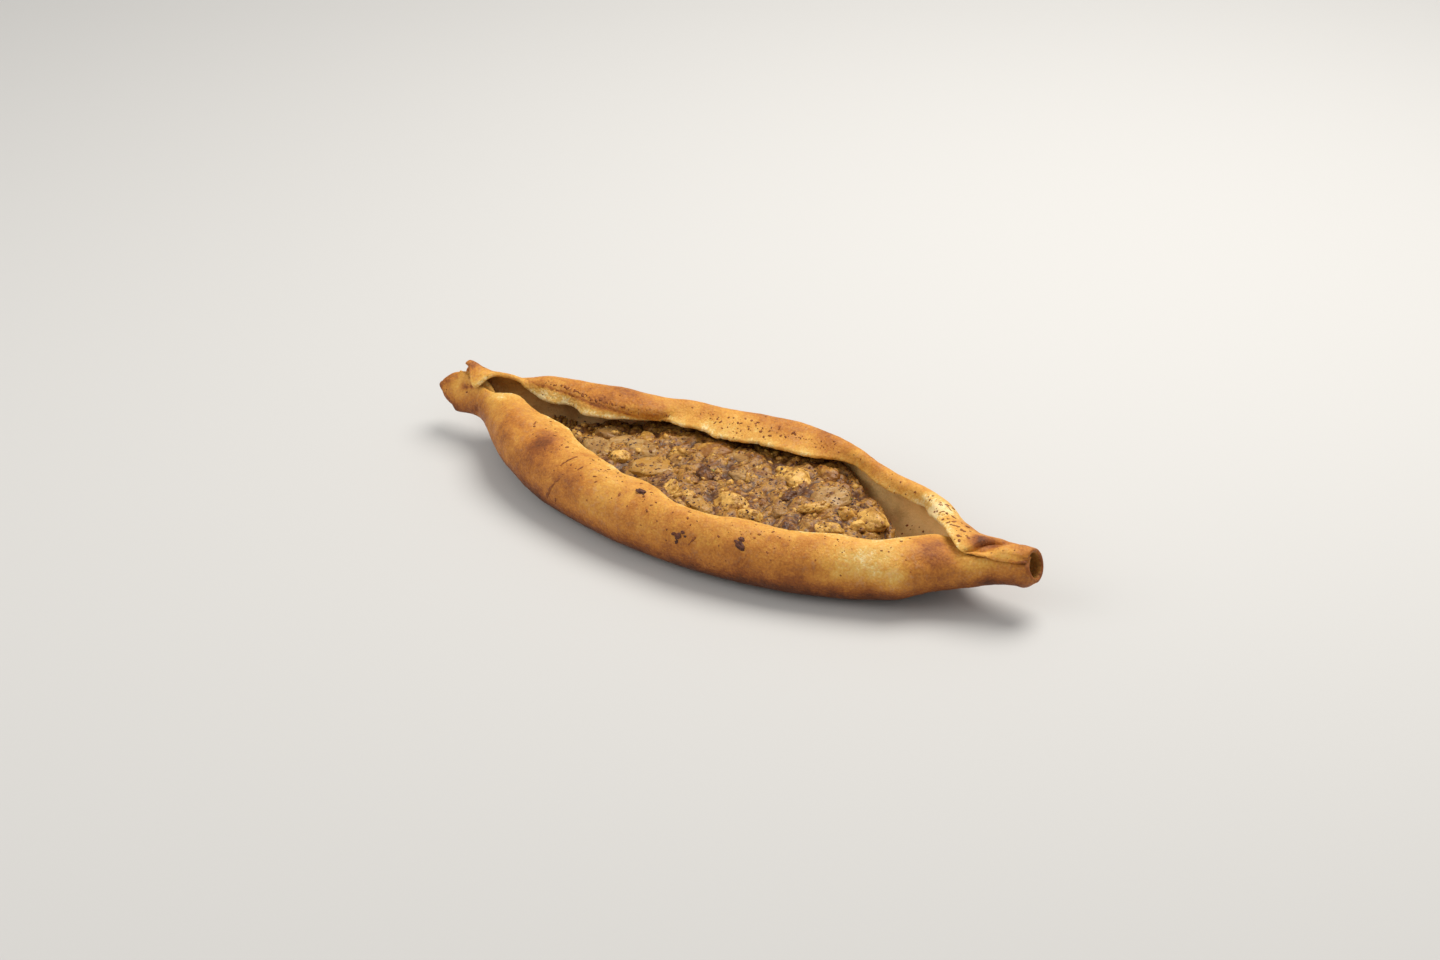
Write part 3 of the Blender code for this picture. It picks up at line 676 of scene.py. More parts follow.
def bakedDough():
    colours = crustColours
    material, tree, shader = newMaterial("baked dough", 0.55, 0.12)
    place = objectPlace(tree)
    mottling = pattern(tree, place, 210, 7, 0.62)
    grain = pattern(tree, place, 900, 5, 0.6)
    toastAndShade = varied(tree, attribute(tree, "toastAndShade"), pattern(tree, place, 55, 5), 0.6)
    toastAndShade = varied(tree, toastAndShade, mottling, 0.6)
    toastAndShade = varied(tree, toastAndShade, grain, 0.55)
    stops = namedStops(colours, (0.0, "white"), (0.1, "pale"), (0.25, "gold"),
                       (0.5, "orange"), (0.74, "brown"), (1.0, "dark"))
    colour = ramp(tree, toastAndShade, stops)
    # fine toasted dots, denser in some places
    dense = fade(tree, pattern(tree, place, 60, 2), 0.3, 0.6)
    where = calc(tree, "MULTIPLY", dense, attribute(tree, "freckles"))
    dots = calc(tree, "MULTIPLY", cellDots(tree, place, 300, 0.3, (-0.02, 0.06)), where)
    colour = over(tree, calc(tree, "MULTIPLY", dots, 0.75), colour, colours["brown"])
    # a dusting of flour that the oven left pale
    dust = fade(tree, pattern(tree, place, 420, 6, 0.7), 0.5, 0.66)
    dust = calc(tree, "MULTIPLY", dust, attribute(tree, "flour"))
    colour = over(tree, calc(tree, "MULTIPLY", dust, 0.34), colour, colours["flour"])
    stained = fade(tree, pattern(tree, place, 90, 6, 0.65), 0.42, 0.72)
    # the inner dough: pale where light is painted on, stain colour in its stains and in painted shade
    inner = calc(tree, "SUBTRACT", attribute(tree, "innerPaintedLight"), calc(tree, "MULTIPLY", stained, 0.45), True)
    inner = over(tree, inner, colours["innerStainAndShade"], colours["inner"])
    colour = over(tree, attribute(tree, "outside"), inner, colour)
    connect(tree, colour, shader, "Base Color")
    roughness = ramp(tree, pattern(tree, place, 130, 4), ((0.3, 0.46), (0.7, 0.66)))
    connect(tree, roughness, shader, "Roughness")
    addBump(tree, shader, varied(tree, mottling, grain, 0.6, 0), 0.0014, 0.55)
    return material


crust.data.materials.clear()
crust.data.materials.append(bakedDough())


# burnt specks and flakes stuck on the crust
speckSettings = {
    "flakes": (  # x, y, z, length, width, height, turn in degrees
        (-17.4, -39.8, 30.2, 5.2, 2.6, 0.8, 5), (9.3, -52.1, 22.4, 3.4, 2.6, 0.6, 40),
        (11.2, -51.0, 24.4, 2.0, 1.5, 0.4, 0), (6.9, -51.9, 22.8, 2.2, 1.5, 0.4, 20),
        (8.9, -53.0, 19.8, 2.1, 1.4, 0.35, 70), (38.5, -48.0, 25.0, 6.2, 2.7, 0.7, -35),
        (38.4, -46.0, 26.8, 2.8, 1.9, 0.5, -20), (12.8, -51.0, 23.0, 1.3, 1.0, 0.3, 10),
    ),
    "dots": (    # x, y, z, across
        (-90.0, -18.7, 31.7, 1.2), (-67.2, -25.3, 30.9, 1.4), (-65.7, -38.8, 26.0, 0.9),
        (-58.6, -35.3, 29.6, 1.0), (-41.4, -40.8, 28.7, 0.9), (-42.1, -47.3, 22.2, 1.0),
        (-26.8, -43.9, 28.2, 1.3), (-20.4, -47.6, 26.2, 0.8), (3.0, -51.5, 23.5, 1.0),
        (3.5, -53.2, 18.9, 0.9), (-3.1, -50.2, 25.3, 0.7), (27.9, -48.3, 26.2, 1.1),
        (29.3, -50.4, 23.1, 0.7), (43.5, -43.7, 28.0, 1.0), (39.8, -35.8, 29.1, 0.7),
        (53.7, -29.8, 28.1, 1.6), (33.6, -51.9, 17.3, 0.7), (111.0, 6.1, 31.0, 1.4),
        (107.5, 17.8, 30.4, 1.2), (110.1, 18.1, 29.3, 1.7), (114.6, 3.2, 32.2, 1.3),
        (116.7, 5.2, 32.3, 1.6), (123.2, 5.8, 31.5, 2.1), (123.3, -0.6, 33.4, 1.3),
        (126.6, 1.2, 32.7, 1.3), (124.9, -1.2, 33.5, 1.2), (124.0, -5.4, 33.7, 1.5),
        (128.8, -5.1, 33.6, 1.2), (125.6, -8.0, 33.5, 1.3), (103.9, 12.8, 28.9, 0.9),
        (98.3, 19.1, 29.8, 1.0), (-80.8, -26.2, 30.5, 1.2), (-76.3, -30.1, 29.4, 1.0),
        (-72.1, -31.0, 29.8, 0.8), (-84.7, -24.6, 30.7, 0.8), (-79.5, -22.2, 31.5, 0.8),
        (-83.3, -32.0, 26.9, 0.7), (-83.4, -34.7, 23.9, 0.7), (21.5, -53.3, 14.3, 0.8),
        (2.6, -45.7, 29.3, 0.8), (-10.7, -51.8, 21.5, 0.7), (-41.5, -32.3, 30.2, 0.7),
        (-13.9, 36.7, 29.8, 0.9), (-10.4, 34.9, 29.0, 1.1), (-8.3, 38.4, 30.0, 0.9),
        (-5.0, 38.4, 29.9, 1.2), (-2.3, 37.5, 29.5, 1.1), (-4.6, 34.9, 28.6, 0.8),
        (-7.1, 31.7, 27.3, 0.8), (-0.2, 43.4, 30.3, 0.9), (9.0, 40.4, 29.7, 1.1),
        (-14.0, 31.2, 27.7, 0.8), (-8.4, 30.1, 26.7, 0.8), (4.5, 33.1, 26.7, 1.0),
        (-8.6, 27.5, 25.5, 0.8), (-0.1, 35.6, 28.4, 0.7), (-35.9, 35.6, 29.3, 0.7),
        (-21.2, 31.4, 27.6, 0.8), (-30.6, 34.2, 28.3, 0.7), (-91.3, 18.6, 31.4, 1.2),
        (-75.3, 19.5, 32.2, 1.3), (-73.1, 17.9, 30.9, 1.1), (-75.9, 17.8, 31.3, 1.0),
        (-69.9, 18.1, 30.6, 1.0), (-68.6, 23.3, 32.8, 0.7), (-84.7, 21.8, 32.7, 0.8),
        (-135.6, -1.2, 20.7, 0.8), (-144.2, 2.0, 23.9, 0.9), (21.3, 38.5, 28.4, 0.7),
        (30.4, 36.7, 27.3, 0.8), (42.0, 37.7, 27.5, 0.8), (54.4, 35.8, 28.6, 0.7),
        (80.0, 26.1, 29.6, 0.8), (89.0, 23.4, 28.6, 0.8), (96.8, 20.7, 29.9, 0.7),
        (104.1, 17.9, 30.7, 0.8), (72.5, -40.6, 24.1, 0.7), (84.3, -39.2, 19.3, 0.7),
        (53.7, -47.2, 21.7, 0.7), (108.2, -24.3, 26.5, 0.7), (100.2, -25.1, 28.5, 0.8),
        (-9.3, -45.2, 28.9, 0.7), (13.5, -48.3, 27.5, 0.7), (-50.7, -39.2, 28.5, 0.7),
    ),
    "streaks": (  # from, to, width
        ((-63.8, -36.5, 28.1), (-58.9, -30.0, 30.8), 0.7), ((-53.9, -37.3, 29.2), (-52.4, -34.9, 30.2), 0.7),
        ((-67.9, -42.1, 13.1), (-64.6, -42.8, 19.7), 1.3), ((-64.6, -42.8, 19.7), (-61.3, -41.3, 24.3), 0.8),
        ((-61.6, -44.2, 14.7), (-62.3, -43.5, 11.8), 0.9), ((15.1, -52.9, 20.1), (17.7, -51.0, 24.1), 0.7),
        ((-91.1, -17.6, 31.8), (-92.1, -14.0, 31.5), 0.7), ((106.4, 17.4, 30.6), (110.7, 14.7, 30.4), 0.6),
        ((116.9, 1.9, 32.7), (121.6, 1.4, 33.1), 1.1), ((113.0, 10.6, 31.0), (115.2, 9.8, 31.2), 1.2),
    ),
    "dotDrifts": (  # from x, to x, share of the way across the sheet at both, spread of it, how many
        (-112, -70, 0.865, 0.905, 0.008, 52), (-70, -47, 0.91, 0.965, 0.009, 34),
        (-34, 36, 0.882, 0.9, 0.02, 75), (94, 128, 0.86, 0.9, 0.03, 36), (-95, -15, 0.12, 0.12, 0.05, 64),
        (-15, 112, 0.13, 0.13, 0.05, 46),
    ),
    "grow": (1.3, 1.6),      # how much larger the dots and the streaks are than listed
    "insideDots": (  # middle x, y, reach, how many on the bare dough inside
        (107.0, -2.0, 5.0, 34), (101.0, -9.0, 5.0, 26), (112.0, 3.0, 4.0, 16), (88.0, 22.0, 9.0, 24),
        (-104.0, 6.0, 6.0, 40),
    ),
    "scattered": 150,
    "scatteredSize": (0.35, 0.8),
    "seed": 7,
}


def addBall(mesh, subdivisions, shape):
    # one more ball in the mesh, each of its points moved by shape
    ball = bmesh.new()
    bmesh.ops.create_icosphere(ball, subdivisions=subdivisions, radius=1)
    for vert in ball.verts:
        vert.co = shape(vert.co)
    data = bpy.data.meshes.new("ball")
    ball.to_mesh(data)
    ball.free()
    mesh.from_mesh(data)
    bpy.data.meshes.remove(data)


def addChip(mesh, place, normal, along, size, seed, subdivisions=2, roughness=0.3):
    # a low, uneven chip that sits on the surface; size is length, width, height
    up = normal.normalized()
    side = along - up * along.dot(up)
    side = side.normalized() if side.length > 1e-6 else up.orthogonal().normalized()
    turn = Matrix((side, up.cross(side), up)).transposed()
    start = Vector((seed * 3.7, seed * 1.9, 0))

    def shape(point):
        p = point * (1 + roughness * noise.noise(point * 1.6 + start))
        return place + turn @ Vector((p.x * size[0] / 2, p.y * size[1] / 2, p.z * size[2])) * mm

    addBall(mesh, subdivisions, shape)


def makeSpecks(crust):
    settings = speckSettings
    tree = BVHTree.FromObject(crust, bpy.context.evaluated_depsgraph_get())
    rng = np.random.default_rng(settings["seed"])
    mesh = bmesh.new()
    dotGrow, streakGrow = settings["grow"]
    for k, (x, y, z, length, width, height, turn) in enumerate(settings["flakes"]):
        place, normal, _, _ = tree.find_nearest(Vector((x, y, z)) * mm)
        along = Vector((math.cos(math.radians(turn)), 0, math.sin(math.radians(turn))))
        addChip(mesh, place, normal, along, (length, width, height), k, 4, 0.55)
    flakePoints = len(mesh.verts)
    for k, (x, y, z, across) in enumerate(settings["dots"]):
        place, normal, _, _ = tree.find_nearest(Vector((x, y, z)) * mm)
        along = Vector(rng.normal(size=3))
        across *= dotGrow
        addChip(mesh, place, normal, along, (across * rng.uniform(0.8, 1.3), across * 0.8, 0.14), k + 20)
    for fromX, toX, fromShare, toShare, spread, number in settings["dotDrifts"]:
        for k in range(number):
            way = rng.uniform()
            share = mix(fromShare, toShare, way) + rng.normal() * spread
            i = np.argmin(np.abs(sheetXs - mix(fromX, toX, way)))
            j = np.argmin(np.abs(sheetShares - np.clip(share, 0.02, 0.98)))
            outwards = Vector((0, -3, 1.5) if share < 0.5 else (0, 0, 3))
            start = Vector(sheetSurface[i, j]) + sheetOffset + outwards
            place, normal, _, _ = tree.find_nearest(start * mm)
            size = 0.5 + 1.3 * rng.uniform() ** 2.5
            along = Vector(rng.normal(size=3))
            addChip(mesh, place, normal, along, (size * rng.uniform(0.9, 1.7), size * 0.8, 0.13), k + 900, 1)
    for k, (start, end, width) in enumerate(settings["streaks"]):
        width *= streakGrow
        start, end = Vector(start) * mm, Vector(end) * mm
        along = end - start
        count = max(2, round(along.length / mm / (width * 1.1)))
        for step in range(count):
            place = start + along * ((step + 0.5) / count) + Vector(rng.normal(size=3)) * 0.18 * mm
            place, normal, _, _ = tree.find_nearest(place)
            size = width * rng.uniform(0.6, 1.25)
            addChip(mesh, place, normal, along, (size * 1.7, size * 0.8, 0.13), k * 31 + step)
    for x, y, reach, number in settings["insideDots"]:
        for k in range(number):
            start = Vector((x + reach * rng.normal() * 0.6, y + reach * rng.normal() * 0.6, 24.0)) * mm
            place, normal, _, _ = tree.ray_cast(start, Vector((0, 0, -1)))
            if place is None or normal.z < 0.3:
                continue
            size = 0.5 + 1.2 * rng.uniform() ** 2
            addChip(mesh, place, normal, Vector(rng.normal(size=3)), (size * 1.3, size, 0.25), k + 1300, 1)
    outside = np.empty(len(crust.data.vertices), dtype=np.float32)
    crust.data.attributes["outside"].data.foreach_get("value", outside)
    candidates = np.flatnonzero((outside > 0.9) & (vertexPlaces(crust)[:, 2] > 3 * mm))
    for k, index in enumerate(rng.choice(candidates, settings["scattered"], replace=False)):
        vert = crust.data.vertices[int(index)]
        size = rng.uniform(*settings["scatteredSize"])
        along = Vector(rng.normal(size=3))
        addChip(mesh, vert.co, vert.normal, along, (size * rng.uniform(0.9, 1.8), size, 0.1), k + 400, 1)
    allPoints = len(mesh.verts)
    specks = newObject(mesh, "burntSpecks")
    keepAttribute(specks, "charred", [1.0] * flakePoints + [0.0] * (allPoints - flakePoints))
    smoothShading(specks)
    return specks


def burntDough():
    material, tree, shader = newMaterial("burnt dough", 0.6)
    place = objectPlace(tree)
    blackStops = ((0.3, (0.035, 0.011, 0.008)), (0.7, (0.16, 0.045, 0.016)))
    redStops = ((0.3, (0.15, 0.040, 0.008)), (0.65, (0.34, 0.105, 0.017)))
    black = ramp(tree, pattern(tree, place, 700, 4), blackStops)
    red = ramp(tree, pattern(tree, place, 900, 4), redStops)
    colour = over(tree, attribute(tree, "charred"), red, black)
    connect(tree, colour, shader, "Base Color")
    addBump(tree, shader, pattern(tree, place, 1500, 3), 0.0003, 0.5)
    return material


specks = makeSpecks(crust)
specks.data.materials.append(burntDough())
print("specks:", len(specks.data.polygons), "faces")


# filling: a chopped, crumbled heap
heapSettings = {
    "fromX": -101.0,
    "toX": 91.0,
    "clearance": 0.45,
    "slope": 8.0,   # length over which its ends run out
    "rows": 270,
    "columns": 112,
    "crown": (
        (-101, 13.5), (-90, 15.5), (-70, 18), (-40, 19.5), (0, 20), (40, 20), (65, 19), (80, 16.5), (91, 13),
    ),
    "backLimit": (
        (-101, 9), (-92, 17), (-75, 27), (-55, 33), (0, 44.5), (25, 45.5), (42, 40), (56, 29), (75, 17),
        (91, 0),
    ),
    "lumps": ((9.5, 2.2), (4.6, 1.1), (2.2, 0.5)),  # size and height of the lumps pressed into it
}


@functools.lru_cache(maxsize=None)
def innerFace(x):
    # upper, inner face of the dough in the section at x, front to back
    points = splineAt(sectionAt(x), np.linspace(0.2, 0.8, 61))
    across = np.gradient(points, axis=0)
    across /= np.linalg.norm(across, axis=1)[:, None]
    reach = doughShape["wallThickness"] / 2 + heapSettings["clearance"]
    return points + np.stack([-across[:, 1], across[:, 0]], 1) * reach


def innerFloor(x, y):
    face = innerFace(x)
    below = face[int(np.argmin(face[:, 0])):int(np.argmax(face[:, 0])) + 1]
    return np.interp(y, below[:, 0], below[:, 1])


@functools.lru_cache(maxsize=None)
def heapSides(x):
    face = innerFace(x)
    lowest = int(np.argmin(face[:, 1]))
    level = curveAt(heapSettings["crown"], x) + 1.0
    front = float(np.interp(-level, -face[:lowest + 1, 1], face[:lowest + 1, 0]))
    back = float(np.interp(level, face[lowest:, 1], face[lowest:, 0]))
    back = min(back, face[:, 0].max() - 0.5, curveAt(heapSettings["backLimit"], x))
    return max(front, face[:, 0].min() + 0.5), back


def lumpRelief(x, y):
    # rounded lumps with creases between them, and finer ones on top
    height, gap = 0.0, 1.0
    for level, (size, depth) in enumerate(heapSettings["lumps"]):
        swell = abs(noise.noise(Vector((x, y, 23.0 * level)) / size + Vector((level * 5.3, 1.7, 0.4))))
        height += depth * (min(swell, 0.45) * 2 - 0.45)
        gap = min(gap, swell * (5 + 3 * level))
    return height, gap


def makeHeap():
    settings = heapSettings
    rows, columns = settings["rows"], settings["columns"]
    mesh = bmesh.new()
    bmesh.ops.create_grid(mesh, x_segments=rows, y_segments=columns, size=0.5)
    raised = bmesh.ops.extrude_face_region(mesh, geom=list(mesh.faces))["geom"]
    raised = {item for item in raised if isinstance(item, bmesh.types.BMVert)}
    lines = []
    for i in range(rows + 1):
        x = mix(settings["fromX"], settings["toX"], i / rows)
        front, back = heapSides(x)
        ys = np.linspace(front, back, columns + 1)
        lines.append((x, ys, innerFloor(x, ys), curveAt(settings["crown"], x)))
    hollows = []
    for vert in mesh.verts:
        i, j = round((vert.co.x + 0.5) * rows), round((vert.co.y + 0.5) * columns)
        x, ys, floors, crown = lines[i]
        y, z, gap = ys[j], floors[j], 1.0
        left, right = x - settings["fromX"], settings["toX"] - x
        ragged = 3.2 * noise.noise(Vector((x / 40, y, 8)) / 7.0) - 0.6
        ragged += 1.6 * noise.noise(Vector((x / 20, y, 2)) / 2.6)
        x += ragged * (float(ease(18, 0, right)) - float(ease(18, 0, left)))
        if vert in raised:
            lumps, gap = lumpRelief(x, y)
            lumps += noise.noise(Vector((x, y, 3)) / 17.0) * 1.6
            z = max(crown - 2.2 * abs(2 * j / columns - 1) ** 3 + lumps, floors[j] + 0.8)
            z = mix(floors[j] + 0.5, z, min(1.0, (min(left, right) + 0.3) / settings["slope"]) ** 0.6)
        vert.co = (Vector((x, y, z)) + sheetOffset) * mm
        hollows.append(gap)
    bmesh.ops.recalc_face_normals(mesh, faces=mesh.faces)
    heap = newObject(mesh, "fillingHeap")
    # gap: nearness to a crease between lumps, which the heap's material darkens as painted shade
    keepAttribute(heap, "gap", np.clip(hollows, 0, 1))
    smoothShading(heap)
    return heap


heap = makeHeap()
print("heap:", len(heap.data.polygons), "faces")

# larger pieces: x, y, top, length, width, depth, turn, and how yellow from 0 to 1
pieceSettings = {
    "yellow": (
        (-86.5, 3.9, 18.0, 9, 8, 7, 20, 0.5), (-54.0, 17.0, 20.0, 9, 8, 7, 0, 0.5),
        (-55.2, -5.1, 21.5, 11, 10, 9, 30, 0.6), (-19.7, -16.4, 22.0, 12, 9, 9, 100, 0.7),
        (-29.5, 13.0, 21.0, 12, 6, 6, 30, 0.6), (10.5, -14.1, 23.3, 19, 14, 10, -20, 0.8),
        (23.0, -19.0, 22.2, 12, 7, 7, 10, 0.7), (24.1, 19.5, 22.3, 21, 14, 9, -10, 0.9),
        (60.0, 4.0, 21.8, 9, 8, 8, 0, 0.8), (45.8, 0.5, 22.3, 17, 6, 7, 40, 0.7),
        (72.6, 6.2, 22.6, 17, 13, 10, -30, 0.7), (-19.0, 22.1, 21.6, 19, 14, 10, 25, 0.1),
        (-9.8, -18.1, 21.6, 7, 6, 6, 0, 0.9), (58.4, -10.2, 21.6, 15, 9, 8, 20, 0.8),
        (69.3, -1.6, 21.4, 8, 6, 7, 50, 0.7), (36.5, 30.0, 21.4, 15, 9, 8, -20, 0.2),
    ),
    "slab": (
        (-69.0, -2.5, 20.5, 20, 14, 7, -25, 0.3), (-73.0, 12.5, 19.5, 13, 8, 6, 10, 0.1),
        (-63.0, 8.6, 20.0, 15, 9, 7, 40, 0.2), (-50.2, 6.4, 21.5, 19, 13, 9, -15, 0.4),
        (-37.3, -5.5, 21.5, 22, 15, 6, 20, 1.0), (-5.0, 24.0, 20.8, 20, 11, 8, -10, 0.0),
        (-2.5, -23.2, 22.0, 20, 9, 7, -22, 0.9), (3.8, 9.1, 21.6, 15, 10, 6, 0, 0.5),
        (47.9, 12.6, 22.6, 19, 17, 8, 30, 0.3), (33.4, -8.8, 21.4, 10, 9, 7, 0, 0.0),
    ),
    "dark": (
        (-87.5, 11.0, 17.0, 11, 8, 6, 60, 0.5), (30.0, 3.5, 21.2, 12, 9, 7, 70, 0.5),
        (-13.0, 2.0, 21.2, 13, 10, 8, -40, 0.5),
    ),
    "crumbRelief": {"yellow": 0.1, "slab": 0.02, "dark": 0.16},
    "raise": 0.6,
}


def makePieces(kind, name):
    mesh = bmesh.new()
    relief = pieceSettings["crumbRelief"][kind]
    tints = []
    for k, (x, y, top, length, width, depth, turn, tint) in enumerate(pieceSettings[kind]):
        spin = Matrix.Rotation(math.radians(turn), 3, "Z")
        start = Vector((k * 7.3, len(kind) * 3.1, 0))

        def shape(p):
            grow = 1 + 0.22 * noise.noise(p * 1.3 + start) + 0.03 * noise.noise(p * 9 + start)
            grow += relief * (0.5 - noise.voronoi(p * 2.6 + start)[0][0])
            grow += relief * 0.5 * (0.5 - noise.voronoi(p * 6 + start)[0][0])
            p = p * grow
            if kind == "slab":  # flat top and squarer sides
                p.z = math.copysign(min(abs(p.z), 0.72 + 0.1 * noise.noise(p * 2 + start)), p.z)
            p = spin @ Vector((p.x * length / 2, p.y * width / 2, p.z * depth / 2))
            return (p + Vector((x, y, top + pieceSettings["raise"] - depth / 2)) + sheetOffset) * mm

        before = len(mesh.verts)
        addBall(mesh, 5, shape)
        tints += [tint] * (len(mesh.verts) - before)
    pieces = newObject(mesh, name)
    keepAttribute(pieces, "tint", tints)
    smoothShading(pieces)
    return pieces


yellowPieces = makePieces("yellow", "yellowLumps")
slabs = makePieces("slab", "paleSlabs")
darkPieces = makePieces("dark", "darkClumps")
print("larger pieces made")


crumbSettings = {
    "count": 950,
    "size": (1.0, 4.2),
    "darkCount": 2200,
    "darkSize": (0.45, 1.5),
    "proportions": ((0.9, 1.5), (0.6, 1.0), (0.5, 1)),
    "drift": 7.0,       # size of the places where the dark ones gather
    "spill": (          # middle x, y, reach, how many have fallen there
        (91.5, -9.0, 4.0, 30), (91.5, 1.0, 4.0, 18), (-101.5, 1.0, 4.0, 26), (-101.5, 7.0, 3.0, 14),
        (-108.5, 16.0, 2.4, 34), (-104.5, 17.5, 3.0, 48), (-98.5, 19.0, 3.4, 60), (-92.5, 20.0, 3.4, 60),
    ),
    "seed": 21,
}


def heapTrees():
    graph = bpy.context.evaluated_depsgraph_get()
    return [BVHTree.FromObject(obj, graph) for obj in (heap, yellowPieces, slabs, darkPieces)]


def dropOn(trees, x, y):
    # highest point of the heap under x, y, and its normal
    best = None
    for tree in trees:
        place, normal, _, _ = tree.ray_cast(Vector((x * mm, y * mm, 0.06)), Vector((0, 0, -1)))
        if place is not None and (best is None or place.z > best[0].z):
            best = (place, normal)
    return best


def scatterOn(name, count, size, seed, subdivisions, flatness, roughness, sink, drift=0.0):
    settings = heapSettings
    trees = heapTrees()
    rng = np.random.default_rng(seed)
    mesh = bmesh.new()
    made = 0
    while made < count:
        x = rng.uniform(settings["fromX"] + 1, settings["toX"] - 1)
        front, back = heapSides(round(x * 2) / 2)
        y = rng.uniform(-60, 60)
        if not front + 0.5 < y < back - 0.5:
            continue
        if drift and rng.uniform() > ease(-0.25, 0.25, noise.noise(Vector((x, y, 40)) / drift)) + 0.12:
            continue
        found = dropOn(trees, x + sheetOffset.x, y + sheetOffset.y)
        if found is None:
            continue
        place, normal = found
        across = size[0] + (size[1] - size[0]) * rng.uniform() ** 2.2
        shape = [across * rng.uniform(low, high) for low, high in crumbSettings["proportions"]]
        shape[2] *= flatness
        along = Vector(rng.normal(size=3))
        place -= normal * across * sink * mm
        addChip(mesh, place, normal, along, shape, made, subdivisions, roughness)
        made += 1
    for x, y, reach, number in crumbSettings["spill"]:
        for k in range(number if drift else number // 3):
            px, py = x + reach * rng.normal() * 0.45, y + reach * rng.normal() * 0.8
            across = rng.uniform(*size) * 0.8
            lift = innerFloor(round(px * 2) / 2, py) - heapSettings["clearance"] + across * 0.1
            place = (Vector((px, py, float(lift))) + sheetOffset) * mm
            shape = (across * 1.2, across, across * flatness * 1.2)
            along = Vector(rng.normal(size=3))
            addChip(mesh, place, Vector((0, 0, 1)), along, shape, k, subdivisions, roughness)
    pieces = newObject(mesh, name)
    smoothShading(pieces)
    return pieces


crumbs = scatterOn("crumbs", crumbSettings["count"], crumbSettings["size"],
                   crumbSettings["seed"], 2, 0.5, 0.5, 0.25)
darkCrumbs = scatterOn("darkCrumbs", crumbSettings["darkCount"], crumbSettings["darkSize"],
                       crumbSettings["seed"] + 1, 1, 0.3, 0.5, 0.05, crumbSettings["drift"])
print("crumbs:", len(crumbs.data.polygons), "and", len(darkCrumbs.data.polygons), "faces")


herbSettings = {
    "bits": ((-10.9, 5.8, 2.6), (56.7, 15.5, 1.6), (32.7, -3.6, 1.5)),  # x, y, length
    "height": 0.6,
}


def makeHerbs():
    trees = heapTrees()
    mesh = bmesh.new()
    for k, (x, y, length) in enumerate(herbSettings["bits"]):
        place, normal = dropOn(trees, x + sheetOffset.x, y + sheetOffset.y)
        size = (length, length * 0.6, herbSettings["height"])
        addChip(mesh, place, normal, Vector((1, 0.3 * k, 0)), size, k + 60, 3, 0.4)
    herbs = newObject(mesh, "greenBits")
    smoothShading(herbs)
    return herbs


herbs = makeHerbs()

fillingColours = {
    "tan": (0.27, 0.105, 0.016),
    "straw": (0.45, 0.22, 0.036),
    "yellow": (0.76, 0.44, 0.105),
    "grey": (0.32, 0.16, 0.042),
    "pale": (0.46, 0.275, 0.10),
    "brown": (0.12, 0.042, 0.009),
    "purple": (0.065, 0.022, 0.017),
    "deep": (0.07, 0.024, 0.008),
}


def fillingMaterial(name, stops, zoneScale, specks, gloss=0.42, tinted=False):
    # chopped filling: zones of colour, crumbs that differ from each other, small dark bits
    colours = fillingColours
    material, tree, shader = newMaterial(name, gloss, 0.1)
    place = objectPlace(tree)
    tone = varied(tree, pattern(tree, place, zoneScale, 4), cells(tree, place, 420, "Color"), 0.22)
    tone = varied(tree, tone, pattern(tree, place, 800, 5), 0.3)
    if tinted:
        tone = varied(tree, tone, attribute(tree, "tint"), 0.4, 0.6)
    colour = ramp(tree, tone, stops)
    bits = cellDots(tree, place, 520, specks, (-0.03, 0.05))
    colour = over(tree, calc(tree, "MULTIPLY", bits, 0.8), colour, colours["purple"])
    connect(tree, colour, shader, "Base Color")
    height = varied(tree, pattern(tree, place, 600, 6, 0.6), cells(tree, place, 420), -0.6, 0)
    addBump(tree, shader, height, 0.0007, 0.45)
    return material, tree, shader, colour


def heapMaterial():
    colours = fillingColours
    stops = namedStops(colours, (0.3, "brown"), (0.42, "tan"), (0.5, "grey"), (0.58, "straw"), (0.7, "tan"))
    material, tree, shader, colour = fillingMaterial("crumbled filling", stops, 120, 0.46)
    # painted shade: the creases between the lumps are darkened towards the deep colour
    shut = calc(tree, "ADD", fade(tree, attribute(tree, "gap"), 0.0, 0.7), 0.08, True)
    colour = over(tree, shut, colours["deep"], colour)
    connect(tree, colour, shader, "Base Color")
    return material


heap.data.materials.append(heapMaterial())
herbStops = ((0.35, (0.10, 0.085, 0.012)), (0.6, (0.30, 0.24, 0.03)))
purpleStops = ((0.3, (0.06, 0.026, 0.024)), (0.5, (0.09, 0.03, 0.018)), (0.7, (0.15, 0.05, 0.015)))
yellowStops = namedStops(fillingColours, (0.3, "tan"), (0.45, "straw"), (0.65, "yellow"))
slabStops = namedStops(fillingColours, (0.3, "grey"), (0.48, "pale"), (0.7, "straw"))
darkStops = namedStops(fillingColours, (0.3, "deep"), (0.5, "brown"), (0.7, "tan"))
crumbStops = namedStops(fillingColours, (0.3, "brown"), (0.41, "tan"), (0.52, "straw"), (0.68, "yellow"))
for piece, *look in (
    (yellowPieces, "yellow lumps", yellowStops, 160, 0.26, 0.42, True),
    (slabs, "pale slabs", slabStops, 120, 0.26, 0.34, True),
    (darkPieces, "dark clumps", darkStops, 200, 0.3, 0.42, True),
    (crumbs, "crumbs", crumbStops, 260, 0.2),
    (herbs, "green bits", herbStops, 400, 0.0),
    (darkCrumbs, "dark crumbs", purpleStops, 300, 0.0),
):
    piece.data.materials.append(fillingMaterial(*look)[0])

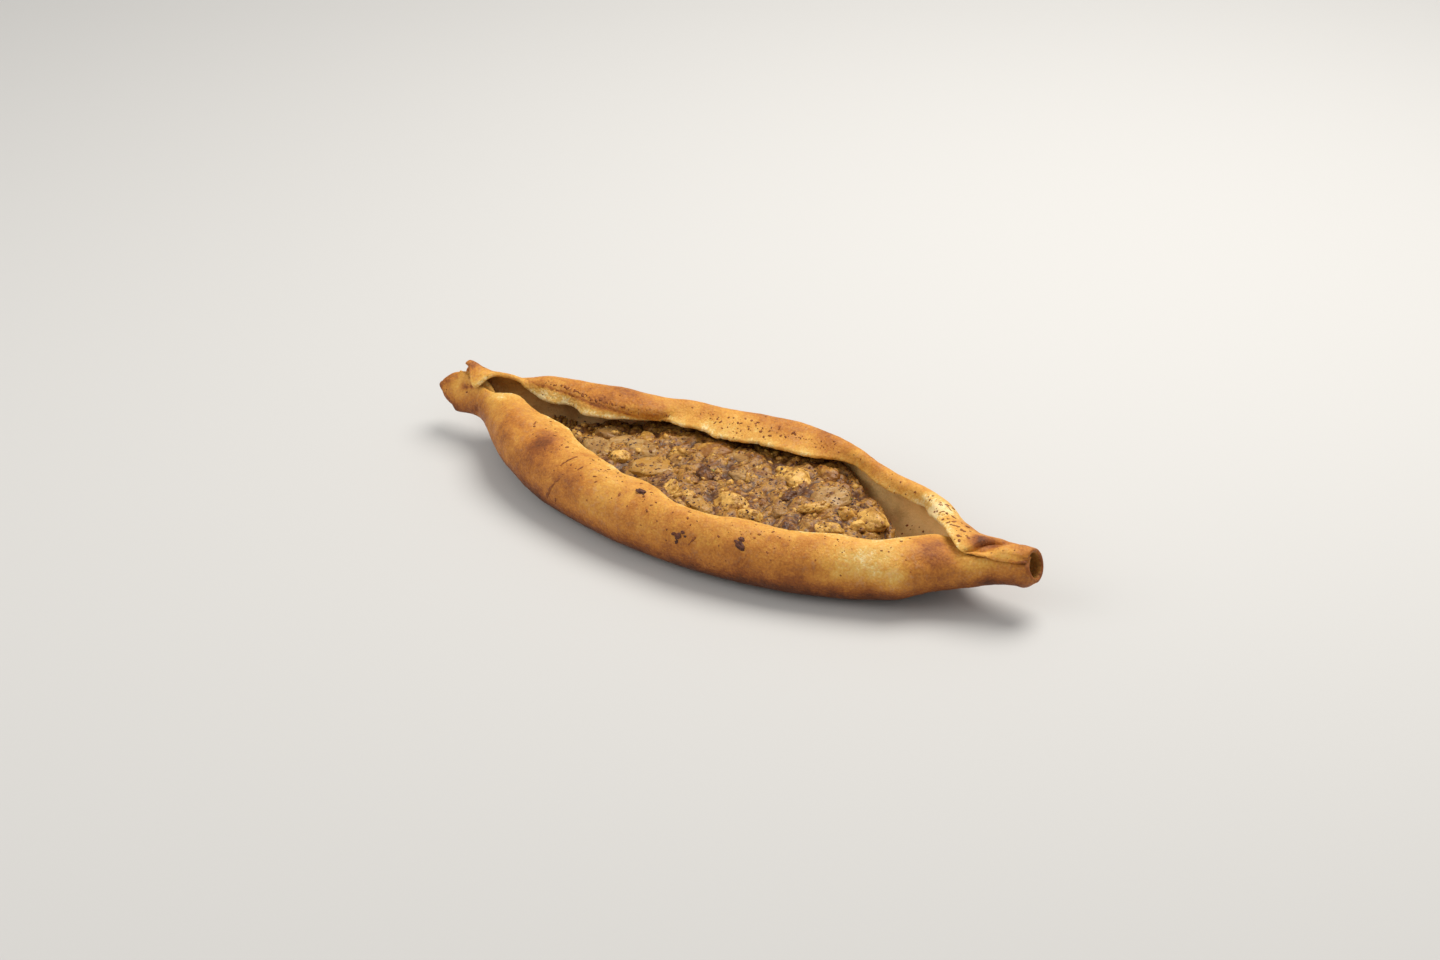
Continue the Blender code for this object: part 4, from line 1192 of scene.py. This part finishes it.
for piece in (crust, specks):
    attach(piece, "root")
    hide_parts("crust")
for piece in (heap, yellowPieces, slabs, darkPieces, crumbs, darkCrumbs, herbs):
    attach(piece, "root")
    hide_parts("filling")
print("pieces placed")


# floor, light and camera
studioSettings = {
    "floorColour": (0.59, 0.59, 0.585),
    "sky": ((1.0, 0.98, 0.95), 0.5),
    "lights": (  # name, place, aim, size, watts, colour, in metres
        ("key", (0.12, 0.48, 0.98), (0, 0, 0), 0.75, 11.5, (1.0, 0.96, 0.9)),
        ("fill", (-0.7, -0.7, 0.8), (0, 0, 0), 0.9, 4.0, (1.0, 0.98, 0.94)),
    ),
    "cameraPlace": (0.49339, -0.82579, 0.64032),
    "cameraTurn": (57.18, 0.596, 30.468),  # degrees
    "lens": 61.9125,
}


def makeStudio():
    settings = studioSettings
    sheet = bmesh.new()
    bmesh.ops.create_circle(sheet, cap_ends=True, segments=64, radius=4.0)
    floor = newObject(sheet, "studioFloor")
    material, _, shader = newMaterial("studio floor", 0.9)
    shader.inputs["Base Color"].default_value = (*settings["floorColour"], 1)
    floor.data.materials.append(material)
    world = bpy.data.worlds.new("studio")
    world.use_nodes = True
    background = world.node_tree.nodes["Background"]
    background.inputs["Color"].default_value = (*settings["sky"][0], 1)
    background.inputs["Strength"].default_value = settings["sky"][1]
    bpy.context.scene.world = world
    for name, place, aim, size, watts, colour in settings["lights"]:
        light = bpy.data.lights.new(name, "AREA")
        light.shape = "DISK"
        light.size = size
        light.energy = watts
        light.color = colour
        lamp = bpy.data.objects.new(name, light)
        lamp.location = place
        lamp.rotation_euler = (Vector(aim) - Vector(place)).to_track_quat("-Z", "Y").to_euler()
        bpy.context.scene.collection.objects.link(lamp)
    lens = bpy.data.cameras.new("camera")
    lens.sensor_width = 36
    lens.lens = settings["lens"]
    camera = bpy.data.objects.new("camera", lens)
    camera.location = settings["cameraPlace"]
    camera.rotation_euler = [math.radians(angle) for angle in settings["cameraTurn"]]
    bpy.context.scene.collection.objects.link(camera)
    bpy.context.scene.camera = camera


makeStudio()
bpy.context.scene.view_settings.view_transform = "Standard"
print("studio ready")
